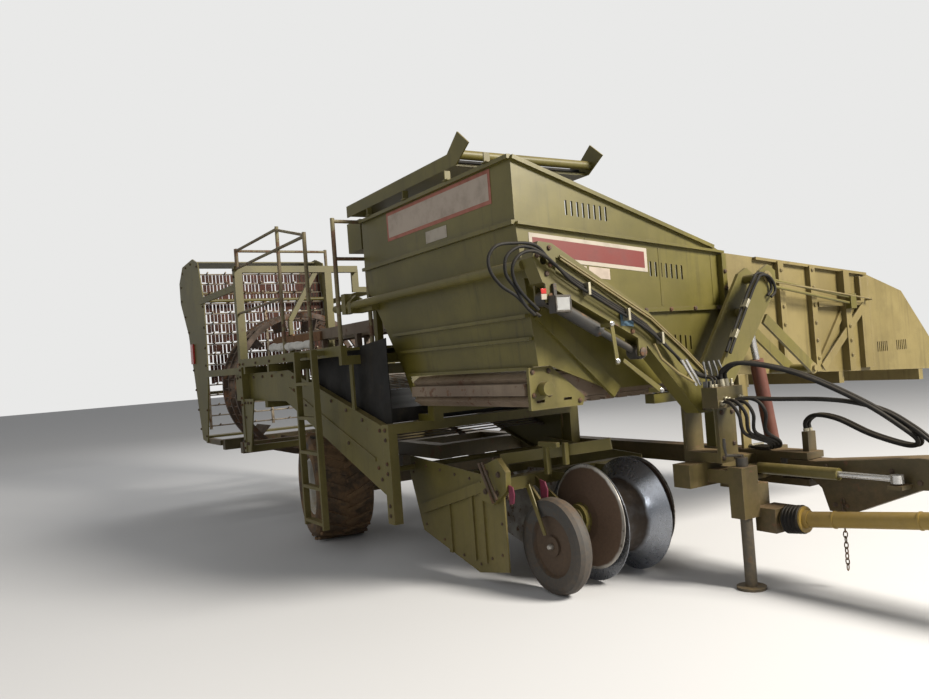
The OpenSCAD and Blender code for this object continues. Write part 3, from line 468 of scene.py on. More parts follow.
def painted(name, paint, faded, dusty=0.5, reach=1.1, rusty=0.25, worn=0.5, streaky=0.4, gloss=0.5,
            dust="dust"):
    """Old paint: faded patches, rain streaks, rust, worn edges, and dust or soil on top."""
    settings = bpy.context.scene.harvester_colours
    rust = settings.rust
    tree, shader = new_finish(name)
    fade = step_mask(tree, noise(tree, 1.7, 5.0, roughness=0.6), 0.36, 0.68)
    colour = mix(tree, fade, rgba(paint), rgba(faded))
    mottle = noise(tree, 7.0, 6.0, roughness=0.7)
    colour = mix(tree, times(tree, step_mask(tree, mottle, 0.52, 0.75), 0.35), colour, rgba(paint, 0.6))
    streak = place_group(tree, "streaks", Amount=streaky)["Mask"]
    colour = mix(tree, streak, colour, rgba(paint, 0.45))
    spots = place_group(tree, "rust", Amount=rusty)
    rusted = mix(tree, spots["Shade"], rgba(rust, 0.55), rgba(rust, 1.6))
    colour = mix(tree, spots["Mask"], colour, rusted)
    wear = place_group(tree, "wear", Amount=worn)["Mask"]
    colour = mix(tree, wear, colour, mix(tree, spots["Shade"], rgba(rust, 1.1), (0.30, 0.27, 0.22, 1.0)))
    lying = place_group(tree, "dust", Amount=dusty, Reach=reach)["Mask"]
    colour = mix(tree, lying, colour, rgba(getattr(settings, dust)))
    rough = plus(tree, gloss, times(tree, lying, 0.35))
    rough = plus(tree, rough, times(tree, spots["Mask"], 0.25), clamp=True)
    grain = plus(tree, times(tree, noise(tree, 240.0, 3.0), 0.25),
                 times(tree, noise(tree, 5.0, 3.0), 0.9))
    height = maths(tree, "SUBTRACT", plus(tree, grain, times(tree, lying, 0.3)),
                   times(tree, spots["Mask"], 0.2))
    finish_surface(tree, shader, colour, rough, height, 0.35, 0.003)


def bare_metal(name, bright, dark, rusty=0.3, dusty=0.35, metallic=0.85, smooth=0.34):
    """Bare steel: bright and dull patches, rust and dust, which are not metallic."""
    rust = bpy.context.scene.harvester_colours.rust
    tree, shader = new_finish(name)
    patch = step_mask(tree, noise(tree, 6.0, 6.0, roughness=0.65), 0.35, 0.68)
    colour = mix(tree, patch, rgba(bright), rgba(dark))
    spots = place_group(tree, "rust", Amount=rusty, Scale=20.0)
    colour = mix(tree, spots["Mask"], colour, mix(tree, spots["Shade"], rgba(rust, 0.6), rgba(rust, 1.7)))
    lying = place_group(tree, "dust", Amount=dusty, Reach=1.0)["Mask"]
    colour = mix(tree, lying, colour, rgba(bpy.context.scene.harvester_colours.dust))
    cover = maths(tree, "MAXIMUM", spots["Mask"], lying)
    tree.links.new(times(tree, maths(tree, "SUBTRACT", 1.0, cover), metallic), shader.inputs["Metallic"])
    rough = plus(tree, times(tree, patch, 0.16), times(tree, cover, 0.45))
    rough = plus(tree, rough, smooth, clamp=True)
    scratches = noise(tree, 1.0, 4.0,
                      add(tree, "Mapping", Vector=add(tree, "TexCoord").outputs["Object"],
                          Scale=(60.0, 900.0, 60.0)).outputs[0])
    height = plus(tree, times(tree, scratches, 0.25), times(tree, spots["Mask"], 0.7))
    finish_surface(tree, shader, colour, rough, height, 0.25, 0.0015)


def dusty_rubber(name, rubber, dust, dusty=0.6, reach=0.9, patch_low=0.4):
    """Rubber greyed by age, with soil and dust in patches."""
    tree, shader = new_finish(name)
    aged = step_mask(tree, noise(tree, 11.0, 5.0), 0.35, 0.7)
    colour = mix(tree, aged, rgba(rubber), rgba(rubber, 2.2))
    lying = place_group(tree, "dust", Amount=dusty, Reach=reach)["Mask"]
    patches = step_mask(tree, noise(tree, 5.0, 7.0, roughness=0.7), patch_low, patch_low + 0.22)
    cover = maths(tree, "MAXIMUM", lying, times(tree, patches, dusty))
    shade = noise(tree, 48.0, 5.0, roughness=0.7)
    colour = mix(tree, cover, colour, mix(tree, shade, rgba(dust, 0.6), rgba(dust, 1.35)))
    rough = plus(tree, 0.62, times(tree, cover, 0.33))
    height = plus(tree, times(tree, noise(tree, 120.0, 4.0), 0.3), times(tree, cover, 0.8))
    finish_surface(tree, shader, colour, rough, height, 0.5, 0.003)
    shader.inputs["Specular IOR Level"].default_value = 0.2


def banded(name, centre, inner, outer, near, far, metal_far=0.9, rough_far=0.28, dusty=0.3,
           rusty=0.45, hub=0.0, hub_colour=(0.0, 0.0, 0.0)):
    """Turned piece: one look near its axis, another beyond a radius, turning marks and a painted hub."""
    tree, shader = new_finish(name)
    x, _, z = metres([centre[0], 0.0, centre[1]])
    band = place_group(tree, "band", Centre_X=float(x), Centre_Z=float(z), Inner=inner, Outer=outer)
    spots = place_group(tree, "rust", Amount=rusty, Scale=18.0)
    inside = mix(tree, spots["Shade"], rgba(near, 0.6), rgba(near, 1.5))
    outside = mix(tree, times(tree, spots["Mask"], 0.7), rgba(far), rgba(near))
    outside = mix(tree, times(tree, band["Turning"], 0.35), outside, rgba(far, 0.45))
    colour = mix(tree, band["Mask"], inside, outside)
    painted_hub = place_group(tree, "band", Centre_X=float(x), Centre_Z=float(z), Inner=hub,
                              Outer=hub + 0.004)
    colour = mix(tree, painted_hub["Mask"], mix(tree, spots["Mask"], rgba(hub_colour), rgba(near)), colour)
    lying = place_group(tree, "dust", Amount=dusty, Reach=0.8)["Mask"]
    colour = mix(tree, lying, colour, rgba(bpy.context.scene.harvester_colours.soil))
    clean = times(tree, band["Mask"], maths(tree, "SUBTRACT", 1.0, lying))
    tree.links.new(times(tree, clean, metal_far), shader.inputs["Metallic"])
    rough = maths(tree, "SUBTRACT", 0.85, times(tree, clean, 0.85 - rough_far), clamp=True)
    height = plus(tree, times(tree, band["Turning"], 0.25), times(tree, spots["Mask"], 0.5))
    finish_surface(tree, shader, colour, rough, height, 0.25, 0.0015)


def plain(name, colour, rough, metallic=0.0, coat=0.0, mottled=0.25, scale=30.0, glass=0.0):
    """Moulded or enamelled piece: colour mottled with a darker shade, fine grain, dust-dulled gloss."""
    tree, shader = new_finish(name)
    spot = step_mask(tree, noise(tree, scale, 6.0, roughness=0.65), 0.42, 0.72)
    shade = mix(tree, times(tree, spot, mottled), rgba(colour), rgba(colour, 0.4))
    dull = plus(tree, rough, times(tree, spot, 0.2), clamp=True)
    finish_surface(tree, shader, shade, dull, noise(tree, scale * 6, 3.0), 0.15, 0.001)
    shader.inputs["Metallic"].default_value = metallic
    shader.inputs["Coat Weight"].default_value = coat
    shader.inputs["Transmission Weight"].default_value = glass


def build_finishes():
    """Every finish of the harvester."""
    c = bpy.context.scene.harvester_colours
    build_groups()
    painted("olive paint", c.olive, c.olive_faded, dusty=0.38, rusty=0.16)
    painted("hopper paint", c.olive, c.olive_faded, dusty=0.22, reach=0.9, rusty=0.05, worn=0.4,
            streaky=0.55, gloss=0.4)
    # darker olive than the main paint, with soil on top
    painted("soiled olive paint", (0.034, 0.027, 0.005), (0.066, 0.053, 0.010), dust="soil",
            dusty=0.6, reach=1.2, rusty=0.35)
    # tan paint: a lighter copy of the olive paint, painted sunlight on the unloading section, its fittings
    # and the arm's pipes
    painted("tan paint", c.tan, (0.17, 0.135, 0.05), dusty=0.25, rusty=0.1, streaky=0.5)
    painted("rusty rail", (0.085, 0.062, 0.028), (0.14, 0.12, 0.05), dusty=0.3, rusty=0.45)
    painted("grey rim", (0.33, 0.33, 0.31), (0.46, 0.46, 0.44), dusty=0.55, reach=0.9, rusty=0.15)
    painted("black enamel", (0.012, 0.012, 0.012), (0.03, 0.03, 0.028), dusty=0.45, rusty=0.3)
    painted("rusty slats", (0.105, 0.072, 0.048), (0.19, 0.145, 0.10), dusty=0.3, rusty=0.35, worn=1.0)
    painted("lift red", (0.075, 0.016, 0.010), (0.10, 0.03, 0.018), dusty=0.3, rusty=0.4)
    painted("guard yellow", (0.20, 0.125, 0.008), (0.24, 0.165, 0.022), dusty=0.55, rusty=0.0, worn=0.1)
    bare_metal("worn steel", (0.42, 0.41, 0.39), (0.22, 0.20, 0.18), rusty=0.4)
    bare_metal("bar steel", (0.26, 0.22, 0.16), (0.13, 0.10, 0.07), rusty=0.4, dusty=0.3,
               metallic=0.3, smooth=0.5)
    # web steel: dark brown-grey rusty steel, darkened further as painted shade under the bunker
    bare_metal("web steel", (0.13, 0.115, 0.10), (0.07, 0.058, 0.048), rusty=0.5, dusty=0.3,
               metallic=0.5, smooth=0.45)
    bare_metal("chromed rod", (0.6, 0.6, 0.6), (0.42, 0.42, 0.42), rusty=0.0, dusty=0.25, smooth=0.14)
    bare_metal("rusty iron", (0.075, 0.05, 0.037), (0.045, 0.032, 0.024), rusty=0.5, dusty=0.35,
               metallic=0.35, smooth=0.55)
    dusty_rubber("tyre rubber", (0.022, 0.02, 0.018), c.soil, dusty=0.8, reach=1.0, patch_low=0.36)
    dusty_rubber("black rubber", (0.005, 0.005, 0.005), c.dust, dusty=0.1, reach=0.6, patch_low=0.5)
    dusty_rubber("red rubber", (0.03, 0.009, 0.005), c.soil, dusty=0.25, reach=0.6, patch_low=0.5)
    banded("disc steel", (2680, 415), 0.308, 0.324, (0.075, 0.045, 0.028), (0.60, 0.58, 0.54),
           dusty=0.3, hub=0.098, hub_colour=c.olive_faded)
    # roller steel: the blue-grey of its bright outer band is a painted reflection of the sky
    banded("roller steel", (2640, 371), 0.232, 0.262, (0.03, 0.024, 0.02), (0.34, 0.37, 0.42),
           rough_far=0.2, dusty=0.3, rusty=0.15)
    banded("haulm wheel rubber", (2735, 295), 0.183, 0.19, (0.045, 0.03, 0.02),
           (0.03, 0.034, 0.035), metal_far=0.0, rough_far=0.7, dusty=0.35)
    plain("sign red", c.sign_red, 0.45, mottled=0.4, scale=8.0)
    plain("faded red", (0.27, 0.095, 0.065), 0.6, mottled=0.35, scale=8.0)
    plain("faded sign", (0.33, 0.275, 0.225), 0.55, mottled=0.4, scale=6.0)
    plain("sign white", (0.31, 0.275, 0.225), 0.5, mottled=0.35, scale=9.0)
    plain("blue plate", (0.055, 0.11, 0.16), 0.5, mottled=0.4)
    plain("magenta plastic", (0.12, 0.008, 0.03), 0.55, mottled=0.5)
    plain("plank wood", (0.19, 0.10, 0.05), 0.85, mottled=0.5, scale=18.0)
    plain("signal red", (0.36, 0.02, 0.015), 0.25, coat=0.4)
    plain("lamp glass", (0.75, 0.76, 0.76), 0.08, mottled=0.05, glass=0.7)
    plain("valve grey", (0.10, 0.10, 0.10), 0.5, metallic=0.4)
    plain("zinc fitting", (0.40, 0.37, 0.28), 0.38, metallic=0.8)
    plain("grey roll", (0.50, 0.49, 0.46), 0.8, mottled=0.4, scale=14.0)


FINISH_NODES = {
    "soiled olive paint": ("chassis", "axle_beam", "knuckle_right", "knuckle_left", "hub_pedestal",
                           "drawbar"),
    "chromed rod": ("steering_rack", "lift_rod", "steer_rod"),
    "grey rim": ("rim_right", "rim_left"),
    "tyre rubber": ("tyre_right", "tyre_left"),
    "olive paint": ("web_channel", "front_portal", "platform", "portal_frame", "ladder",
                    "elevator_housing", "floor_drive", "near_arm", "infeed_head", "far_arm",
                    "digger_frame", "steer_barrel"),
    # the rod web in the dark web steel, partly painted shade
    "web steel": ("web_rods",),
    "black rubber": ("rubber_curtain", "infeed_belt", "hydraulic_hoses"),
    "rusty slats": ("picking_table", "hopper_floor", "unload_floor"),
    "rusty rail": ("handrails", "grab_rails"),
    "bar steel": ("elevator_web",),
    "rusty iron": ("ring_elevator", "ring_pockets"),
    "black enamel": ("ring_carrier", "arm_cylinder", "jack_leg"),
    "hopper paint": ("hopper", "hopper_frame"),
    # the unloading section in the tan paint, painted sunlight
    "tan paint": ("unload_section",),
    "lift red": ("lift_barrel",),
    "worn steel": ("digger_share", "pto_shaft"),
    "disc steel": ("disc_right", "disc_left"),
    # the roller's steel, its blue-grey a painted sky reflection
    "roller steel": ("diabolo_roller",),
    "haulm wheel rubber": ("haulm_wheel_right",),
    "guard yellow": ("pto_guard",),
}


# Pieces

def seam_height(y):
    """Height of the sloping seam of the bunker at a place across the machine."""
    return 2220 - (y + 1150) * 0.09


def hose_route(shift):
    """Route of one free hose from the valve block forward and back to its holder, as in the part's source."""
    points = np.array([
        [3460, -60, 1200.3], [3460, -60, 1290], [3560, 0, 1330], [3800, 160, 1250], [4080, 300, 1080],
        [4260, 380, 930], [4300, 430, 860], [4220, 470, 830], [4000, 490, 880], [3800, 500, 960],
        [3660, 500, 980], [3590, 500, 940], [3590, 500, 880]], float)
    return points + [0, shift, 0]


def supply_route(shift):
    """Route of one supply hose from the valve block forward, down onto the drawbar and along its top."""
    points = np.array([
        [3500.4, -20, 1112], [3560, 20, 1126], [3680, 120, 1112], [3880, 260, 1099], [4036, 350, 1071],
        [4172, 405, 1018], [4299, 435, 928], [4390, 448, 850], [4500, 452, 800], [4620, 452, 786],
        [4800, 452, 770], [4960, 452, 762]], float)
    return points - [0, shift, 0]


class HARVESTER_OT_finishes(bpy.types.Operator):
    """Builds every finish and gives each carried-over node its own"""
    bl_idname = "harvester.finishes"
    bl_label = "Finishes"

    def execute(self, context):
        build_finishes()
        for finish, nodes in FINISH_NODES.items():
            for node in nodes:
                for material_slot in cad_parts[node].material_slots:
                    material_slot.material = FINISHES[finish]
        return {"FINISHED"}


class HARVESTER_OT_stage(bpy.types.Operator):
    """Adds the pale floor, the studio lights, the pale surroundings and the camera"""
    bl_idname = "harvester.stage"
    bl_label = "Stage"

    def execute(self, context):
        scene = context.scene
        scene.view_settings.view_transform = "Standard"
        # floor: one wide plane of plain pale colour
        mesh = bpy.data.meshes.new("studio_floor")
        mesh.from_pydata([(-60, -60, 0), (60, -60, 0), (60, 60, 0), (-60, 60, 0)], [], [(0, 1, 2, 3)])
        floor = bpy.data.objects.new("studio_floor", mesh)
        scene.collection.objects.link(floor)
        material = bpy.data.materials.new("studio floor")
        material.use_nodes = True
        shader = material.node_tree.nodes["Principled BSDF"]
        shader.inputs["Base Color"].default_value = (0.54, 0.545, 0.56, 1)
        shader.inputs["Roughness"].default_value = 0.9
        mesh.materials.append(material)
        # world: pale to the camera and in reflections, a plain level of light otherwise
        world = bpy.data.worlds.new("studio")
        world.use_nodes = True
        scene.world = world
        tree = world.node_tree
        back = tree.nodes["Background"]
        path = add(tree, "LightPath")
        glossy = add(tree, "Math", {"operation": "MULTIPLY"}, i0=path.outputs["Is Glossy Ray"], i1=0.45)
        seen = add(tree, "Math", {"operation": "MAXIMUM"}, i0=path.outputs["Is Camera Ray"],
                   i1=glossy.outputs[0])
        seen = add(tree, "Math", {"operation": "MAXIMUM"}, i0=seen.outputs[0],
                   i1=path.outputs["Is Transmission Ray"])
        strength = add(tree, "MapRange", Value=seen.outputs[0], i3=0.31, i4=0.84)
        back.inputs["Color"].default_value = (0.97, 0.97, 0.96, 1)
        tree.links.new(strength.outputs[0], back.inputs["Strength"])
        # key light from the machine's front left, fill from its right, and a light from behind it
        for name, place, aim, size, power, tint in (
                ("key", (11.0, 3.0, 8.0), (0.5, 0.0, 1.0), 4.0, 3400.0, (1.0, 0.94, 0.84)),
                ("fill", (2.0, -11.0, 5.0), (0.5, 0.0, 1.2), 8.0, 170.0, (1.0, 0.98, 0.94)),
                ("rear", (-9.0, 3.0, 8.0), (-1.0, 0.0, 1.2), 6.0, 400.0, (1.0, 0.98, 0.94))):
            lamp = bpy.data.lights.new(name, "AREA")
            lamp.shape = "DISK"
            lamp.size = size
            lamp.energy = power
            lamp.color = tint
            obj = bpy.data.objects.new(name, lamp)
            scene.collection.objects.link(obj)
            z = np.array(place) - np.array(aim)
            turn = upright(z)
            obj.matrix_world = Matrix.Translation(place) @ Matrix(turn.tolist()).to_4x4()
        # camera: place and angles measured from the photograph's wheels, ladder and deck
        heading, pitch, roll = math.radians(58.0), math.atan(11.5 / EYE_DISTANCE), math.radians(4.3)
        ahead = np.array([-math.sin(heading), math.cos(heading), 0.0])
        side = np.array([math.cos(heading), math.sin(heading), 0.0])
        top = np.array([0.0, 0.0, 1.0])
        looking = math.cos(pitch) * ahead + math.sin(pitch) * top
        rising = -math.sin(pitch) * ahead + math.cos(pitch) * top
        right = math.cos(roll) * side - math.sin(roll) * rising
        above = math.sin(roll) * side + math.cos(roll) * rising
        camera = bpy.data.cameras.new("camera")
        camera.sensor_width = 36.0
        camera.lens = camera.sensor_width * EYE_DISTANCE / PICTURE_WIDTH
        obj = bpy.data.objects.new("camera", camera)
        scene.collection.objects.link(obj)
        turn = Matrix((right.tolist(), above.tolist(), (-looking).tolist())).transposed().to_4x4()
        obj.matrix_world = Matrix.Translation((6.145, -4.640, 1.462)) @ turn
        scene.camera = obj
        return {"FINISHED"}


class HARVESTER_OT_hoses(bpy.types.Operator):
    """Adds the free hydraulic hoses with their ferrules, in place of the plain ones"""
    bl_idname = "harvester.hoses"
    bl_label = "Hydraulic hoses"

    def execute(self, context):
        diameter = context.scene.harvester_sizes.hose_diameter
        # half the diameter, in millimetres
        radius = diameter * 500
        for number, shift in enumerate((0, 36)):
            path = curve_through(hose_route(shift), 8)
            hose = make(f"forward_hose_{number}", tube(path, radius, 12), "black rubber",
                        "frame")
            ends = []
            for tip, inner in ((path[0], path[3]), (path[-1], path[-3])):
                ends.append(tube([tip, tip + (inner - tip) * 0.6, tip + (inner - tip) * 1.2],
                                 radius * 1.25, 12))
            make(f"forward_hose_{number}_ferrules", joined(*ends), "zinc fitting", "frame")
            if number == 0:
                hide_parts("hydraulic_hoses")
        # supply hoses: they cross the steering pin; the hose rides on no body, its union on the frame and its
        # plug on the drawbar
        for number, shift in enumerate((0, 30)):
            path = curve_through(supply_route(shift), 8)
            hose = make(f"supply_hose_{number}", tube(path, 11, 12), "black rubber", None)
            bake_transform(hose)
            union = tube([path[0], path[0] + [26, 4, 4]], 15, 8)
            make(f"supply_hose_{number}_union", union, "zinc fitting", "frame")
            plug = tube([path[-1] + [1, 0, 0], path[-1] + [34, 0, 0], path[-1] + [36, 0, 0],
                         path[-1] + [60, 0, 0]], [14, 14, 9, 9], 12)
            make(f"supply_hose_{number}_plug", plug, "signal red", "drawbar")
        return {"FINISHED"}


class HARVESTER_OT_signs(bpy.types.Operator):
    """Adds the blank signs and small plates on the bunker"""
    bl_idname = "harvester.signs"
    bl_label = "Blank signs"

    def execute(self, context):
        border = context.scene.harvester_sizes.sign_border * 1000

        def sign(name, origin, across, length, up, height, rim, panel):
            """Sheet in the rim's finish with a raised field inside its border."""
            across, up = np.array(across, float), np.array(up, float)
            normal = np.cross(across, up)
            normal /= np.linalg.norm(normal)
            base = np.array(origin, float) + normal * 0.6
            sheet = slab(rectangle(0, 0, length, height), base, across, up, 2.0)
            make(name + "_border", sheet, rim, "frame", bevel=0.001)
            field = slab(rectangle(border, border, length - border, height - border),
                         base + normal * 1.9, across, up, 0.9)
            make(name + "_field", field, panel, "frame")

        sign("side_sign", (1455, -1150, 2368), AHEAD, 1355, UP, 206, "faded red", "faded sign")
        slope = np.array([0, 1, -0.09])
        sign("front_sign", (3020, -1062, seam_height(-1062) - 198), slope, 912, UP, 150,
             "sign white", "sign red")
        side_plate = slab(rectangle(0, 0, 272, 78), (2010, -1150.6, 2262), AHEAD, UP, 1.5)
        make("side_plate", side_plate, "sign white", "frame")
        low_plate = slab(rectangle(0, 0, 270, 66), (3020.6, -738, 1912), slope, UP, 1.5)
        make("front_plate", low_plate, "faded sign", "frame")
        blue = slab([[0, 0], [98, -8], [98, 58], [0, 66]], (3270.4, -645, 1596), LEFT, UP, 1.5)
        make("blue_plate", blue, "blue plate", "frame")
        return {"FINISHED"}


class HARVESTER_OT_wheels(bpy.types.Operator):
    """Adds the wheel nuts and hub caps of both wheels"""
    bl_idname = "harvester.wheels"
    bl_label = "Wheel fittings"

    def execute(self, context):
        width = context.scene.harvester_sizes.bolt_width * 1000
        # steering at rest, king pin from the middle, axle's height, from the pin to the rim, bolt circle
        turn, pin, height, pin_to_rim, circle = math.radians(9), 760.0, 465.0, 330, 102.5
        for name, side in (("right", -1), ("left", 1)):
            axis = np.array([math.sin(turn) * side, math.cos(turn) * side, 0.0])
            centre = np.array([0.0, side * pin, height]) + axis * pin_to_rim
            frame_turn = upright(axis)
            angle = np.arange(6) * math.pi / 3 + 0.3
            ring = np.stack([np.cos(angle), np.sin(angle), np.zeros(6)], -1) @ frame_turn.T
            nuts = placed(bolt(width * 1.25), centre + ring * circle + axis * 20.5, axis)
            cap = turned([[0, 0], [50, 0], [50, 6], [44, 10], [40, 34], [30, 44], [0, 48]],
                         centre + axis * 60.2, axis, 28)
            make(f"wheel_fittings_{name}", joined(nuts, cap), "worn steel", f"wheel_{name}",
                 bevel=0.001)
        return {"FINISHED"}


class HARVESTER_OT_sheets(bpy.types.Operator):
    """Adds the hanging and the laid rubber sheets over the rod web, in place of the plain one; the black of
    the laid sheet is partly painted shade, and the sheet hung under the bunker is painted shade
    """
    bl_idname = "harvester.sheets"
    bl_label = "Rubber sheets"

    def execute(self, context):
        def sheet(name, corner_points, thickness, wave, held, rests_on):
            """Sheet between four corners, s along and t down, moved by a sine of s that grows with t."""
            a, b, c, d = np.array(corner_points, float)
            rows, columns = 33, 15
            s = np.linspace(0, 1, rows)[:, None, None]
            t = np.linspace(0, 1, columns)[None, :, None]
            flat = (a * (1 - s) + b * s) * (1 - t) + (d * (1 - s) + c * s) * t
            normal = np.cross(b - a, d - a)
            normal /= np.linalg.norm(normal)
            base = flat + normal * (wave * (0.15 + t) * (np.sin(s * 19.0) + 0.5 * np.sin(s * 43.0 + t * 3.0)))
            points = np.concatenate([base.reshape(-1, 3), (base + normal * thickness).reshape(-1, 3)])
            front = grid_faces(rows, columns)
            count = rows * columns
            rim = ([k * columns for k in range(rows)] + [count - columns + k for k in range(1, columns)]
                   + [(k + 1) * columns - 1 for k in range(rows - 2, -1, -1)]
                   + list(range(columns - 2, 0, -1)))
            edge = [[rim[k], rim[(k + 1) % len(rim)], count + rim[(k + 1) % len(rim)], count + rim[k]]
                    for k in range(len(rim))]
            back = [[count + k for k in face][::-1] for face in front]
            made = make(name, (points, front + back + edge), "black rubber", "frame",
                        smooth=50)
            return made

        side = sheet("side_sheet", [(20, -1222, 1562), (1440, -1222, 1672), (1440, -1222, 1016),
                                    (20, -1222, 1362)], 5, 7, "hung", ["platform"])
        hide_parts("rubber_curtain")
        # rubber cover laid over the web; its black also stands in for the shade under the bunker
        sheet("web_sheet", [(520, WEB_RIGHT, 1262), (1418, WEB_RIGHT, 1062), (1418, WEB_LEFT, 1062),
                            (520, WEB_LEFT, 1262)], 5, 5, "laid", ["web_channel"])
        # black sheet hung under the bunker's floor: painted shade in the gap where the pale floor would show
        # through
        under = corners("hopper_floor")[0][2] - 8
        sheet("bunker_sheet", [(1446, WEB_RIGHT, under), (1446, WEB_LEFT, under),
                               (1446, WEB_LEFT, 1058), (1446, WEB_RIGHT, 1058)], 4, 5, "hung",
              ["front_portal"])
        return {"FINISHED"}


class HARVESTER_OT_bolts(bpy.types.Operator):
    """Adds the bolts of the bolted joints, one piece for each body that carries them"""
    bl_idname = "harvester.bolts"
    bl_label = "Bolts"

    def execute(self, context):
        width = context.scene.harvester_sizes.bolt_width * 1000
        # the frame, digger and drawbar bolts are in the dark rusty iron, partly rust and partly painted shade
        head = bolt(width)
        small = bolt(width * 0.7)

        def web_edge(x, drop):
            """Point on the right side of the web channel, a drop under its upper edge."""
            return (x, -1300, (1500 if x < -440 else 1500 - (x + 440) * 0.246) - drop)

        channel = [web_edge(x, 42) for x in range(-2060, 1400, 288)]
        channel += on_side(-1300, (-325, 1317), (-49, 1183), (829, 892), (1340, 734), (1385, 653))
        post = [(1480, -1300, z) for z in (400, 470, 700, 770, 940, 1010)]
        portal = [(-1680, -1380, z) for z in (730, 800, 1180, 1250, 1470, 1540, 1600, 2520, 2590)]
        gusset = on_side(-1372, (-1600, 1200), (-1500, 1200), (-1400, 1200), (-1600, 1050),
                         (-1610, 780), (-1570, 780))
        housing = on_side(-1340, (-4210, 2700), (-4100, 2870), (-3900, 2920), (-3640, 2930),
                          (-4230, 2520), (-4080, 2300), (-3950, 2090), (-3890, 1850), (-3830, 1600),
                          (-3770, 1350), (-3710, 1100), (-3650, 860), (-3340, 2860), (-3170, 2350),
                          (-3180, 2100), (-3190, 1850), (-3210, 1640), (-3290, 1100), (-3400, 780))
        deck = [(x, -1380, 1600) for x in range(-1560, 960, 420)]
        side = placed(head, channel + post + portal + gusset + housing + deck, RIGHT)
        # front faces: arm, tensioner plate, pedestal, front wall's ribs
        arm = on_front(3270, (-1205, 1995), (-1120, 2035), (-1120, 1945), (-1150, 1895), (-470, 1660),
                       (-560, 1560), (20, 1190), (70, 1070), (-20, 1070))
        plate = on_front(2976.3, (-1075, 1370), (-960, 1370), (-1075, 1235), (-960, 1235), (-740, 1180))
        base = on_front(3384, (-10, 770), (90, 770), (0, 850), (90, 850), (0, 1040), (90, 1040))
        wall = [(3060, 520, z) for z in range(1270, 2040, 110)]
        wall += [(3050, y, 1692) for y in range(-440, 480, 220)]
        faces = placed(head, arm + plate + base + wall, AHEAD)
        pins = placed(turned([[0, 0], [26, 0], [26, 8], [20, 11], [0, 11]], sides=20),
                      [(3270.4, -1130, 1765), (3270.4, -490, 1438)], AHEAD)
        hub = placed(turned([[0, 0], [44, 0], [44, 10], [30, 10], [30, 34], [24, 40], [0, 40]],
                            sides=28), [(3370.4, 30, 1120)], AHEAD)
        make("frame_bolts", joined(side, faces, pins, hub), "rusty iron", "frame")
        # digging unit: the head plate's four large bolts, the side plate's smaller ones
        big = placed(bolt(width * 1.3), on_side(-1034, (2330, 620), (2460, 620), (2490, 740),
                                                (2360, 740)), RIGHT)
        plate_bolts = on_side(-1000, (1330, 730), (1300, 660), (1500, 720), (1700, 705), (1900, 690),
                              (2090, 678), (1450, 290), (1700, 215), (1950, 145), (2160, 120),
                              (2300, 180), (2420, 220), (2440, 420))
        row = placed(small, plate_bolts, RIGHT)
        make("digger_bolts", joined(big, row), "rusty iron", "digger")
        # unloading section: posts, pivot plates and rod ends, in the tan paint whose lightness is painted
        # sunlight
        posts = [(3030, y + 30, z) for y in (1120, 1480) for z in range(1290, 1960, 130)]
        posts += [(3050, 1895, z) for z in range(1290, 1620, 110)]
        pivots = [(3320.4, 600, 1860), (3310.4, 1020, 1240)]
        caps = placed(turned([[0, 0], [38, 0], [38, 8], [20, 8], [20, 26], [0, 26]], sides=24),
                      pivots, AHEAD)
        make("unloader_bolts", joined(placed(head, posts, AHEAD), caps), "tan paint",
             "unloader")
        tongue = on_side(420, (3760, 690), (3900, 640), (4150, 690), (4300, 640), (4700, 700),
                         (4980, 690), (3800, 470), (3870, 470))
        make("drawbar_bolts", placed(head, tongue, RIGHT), "rusty iron", "drawbar")
        return {"FINISHED"}


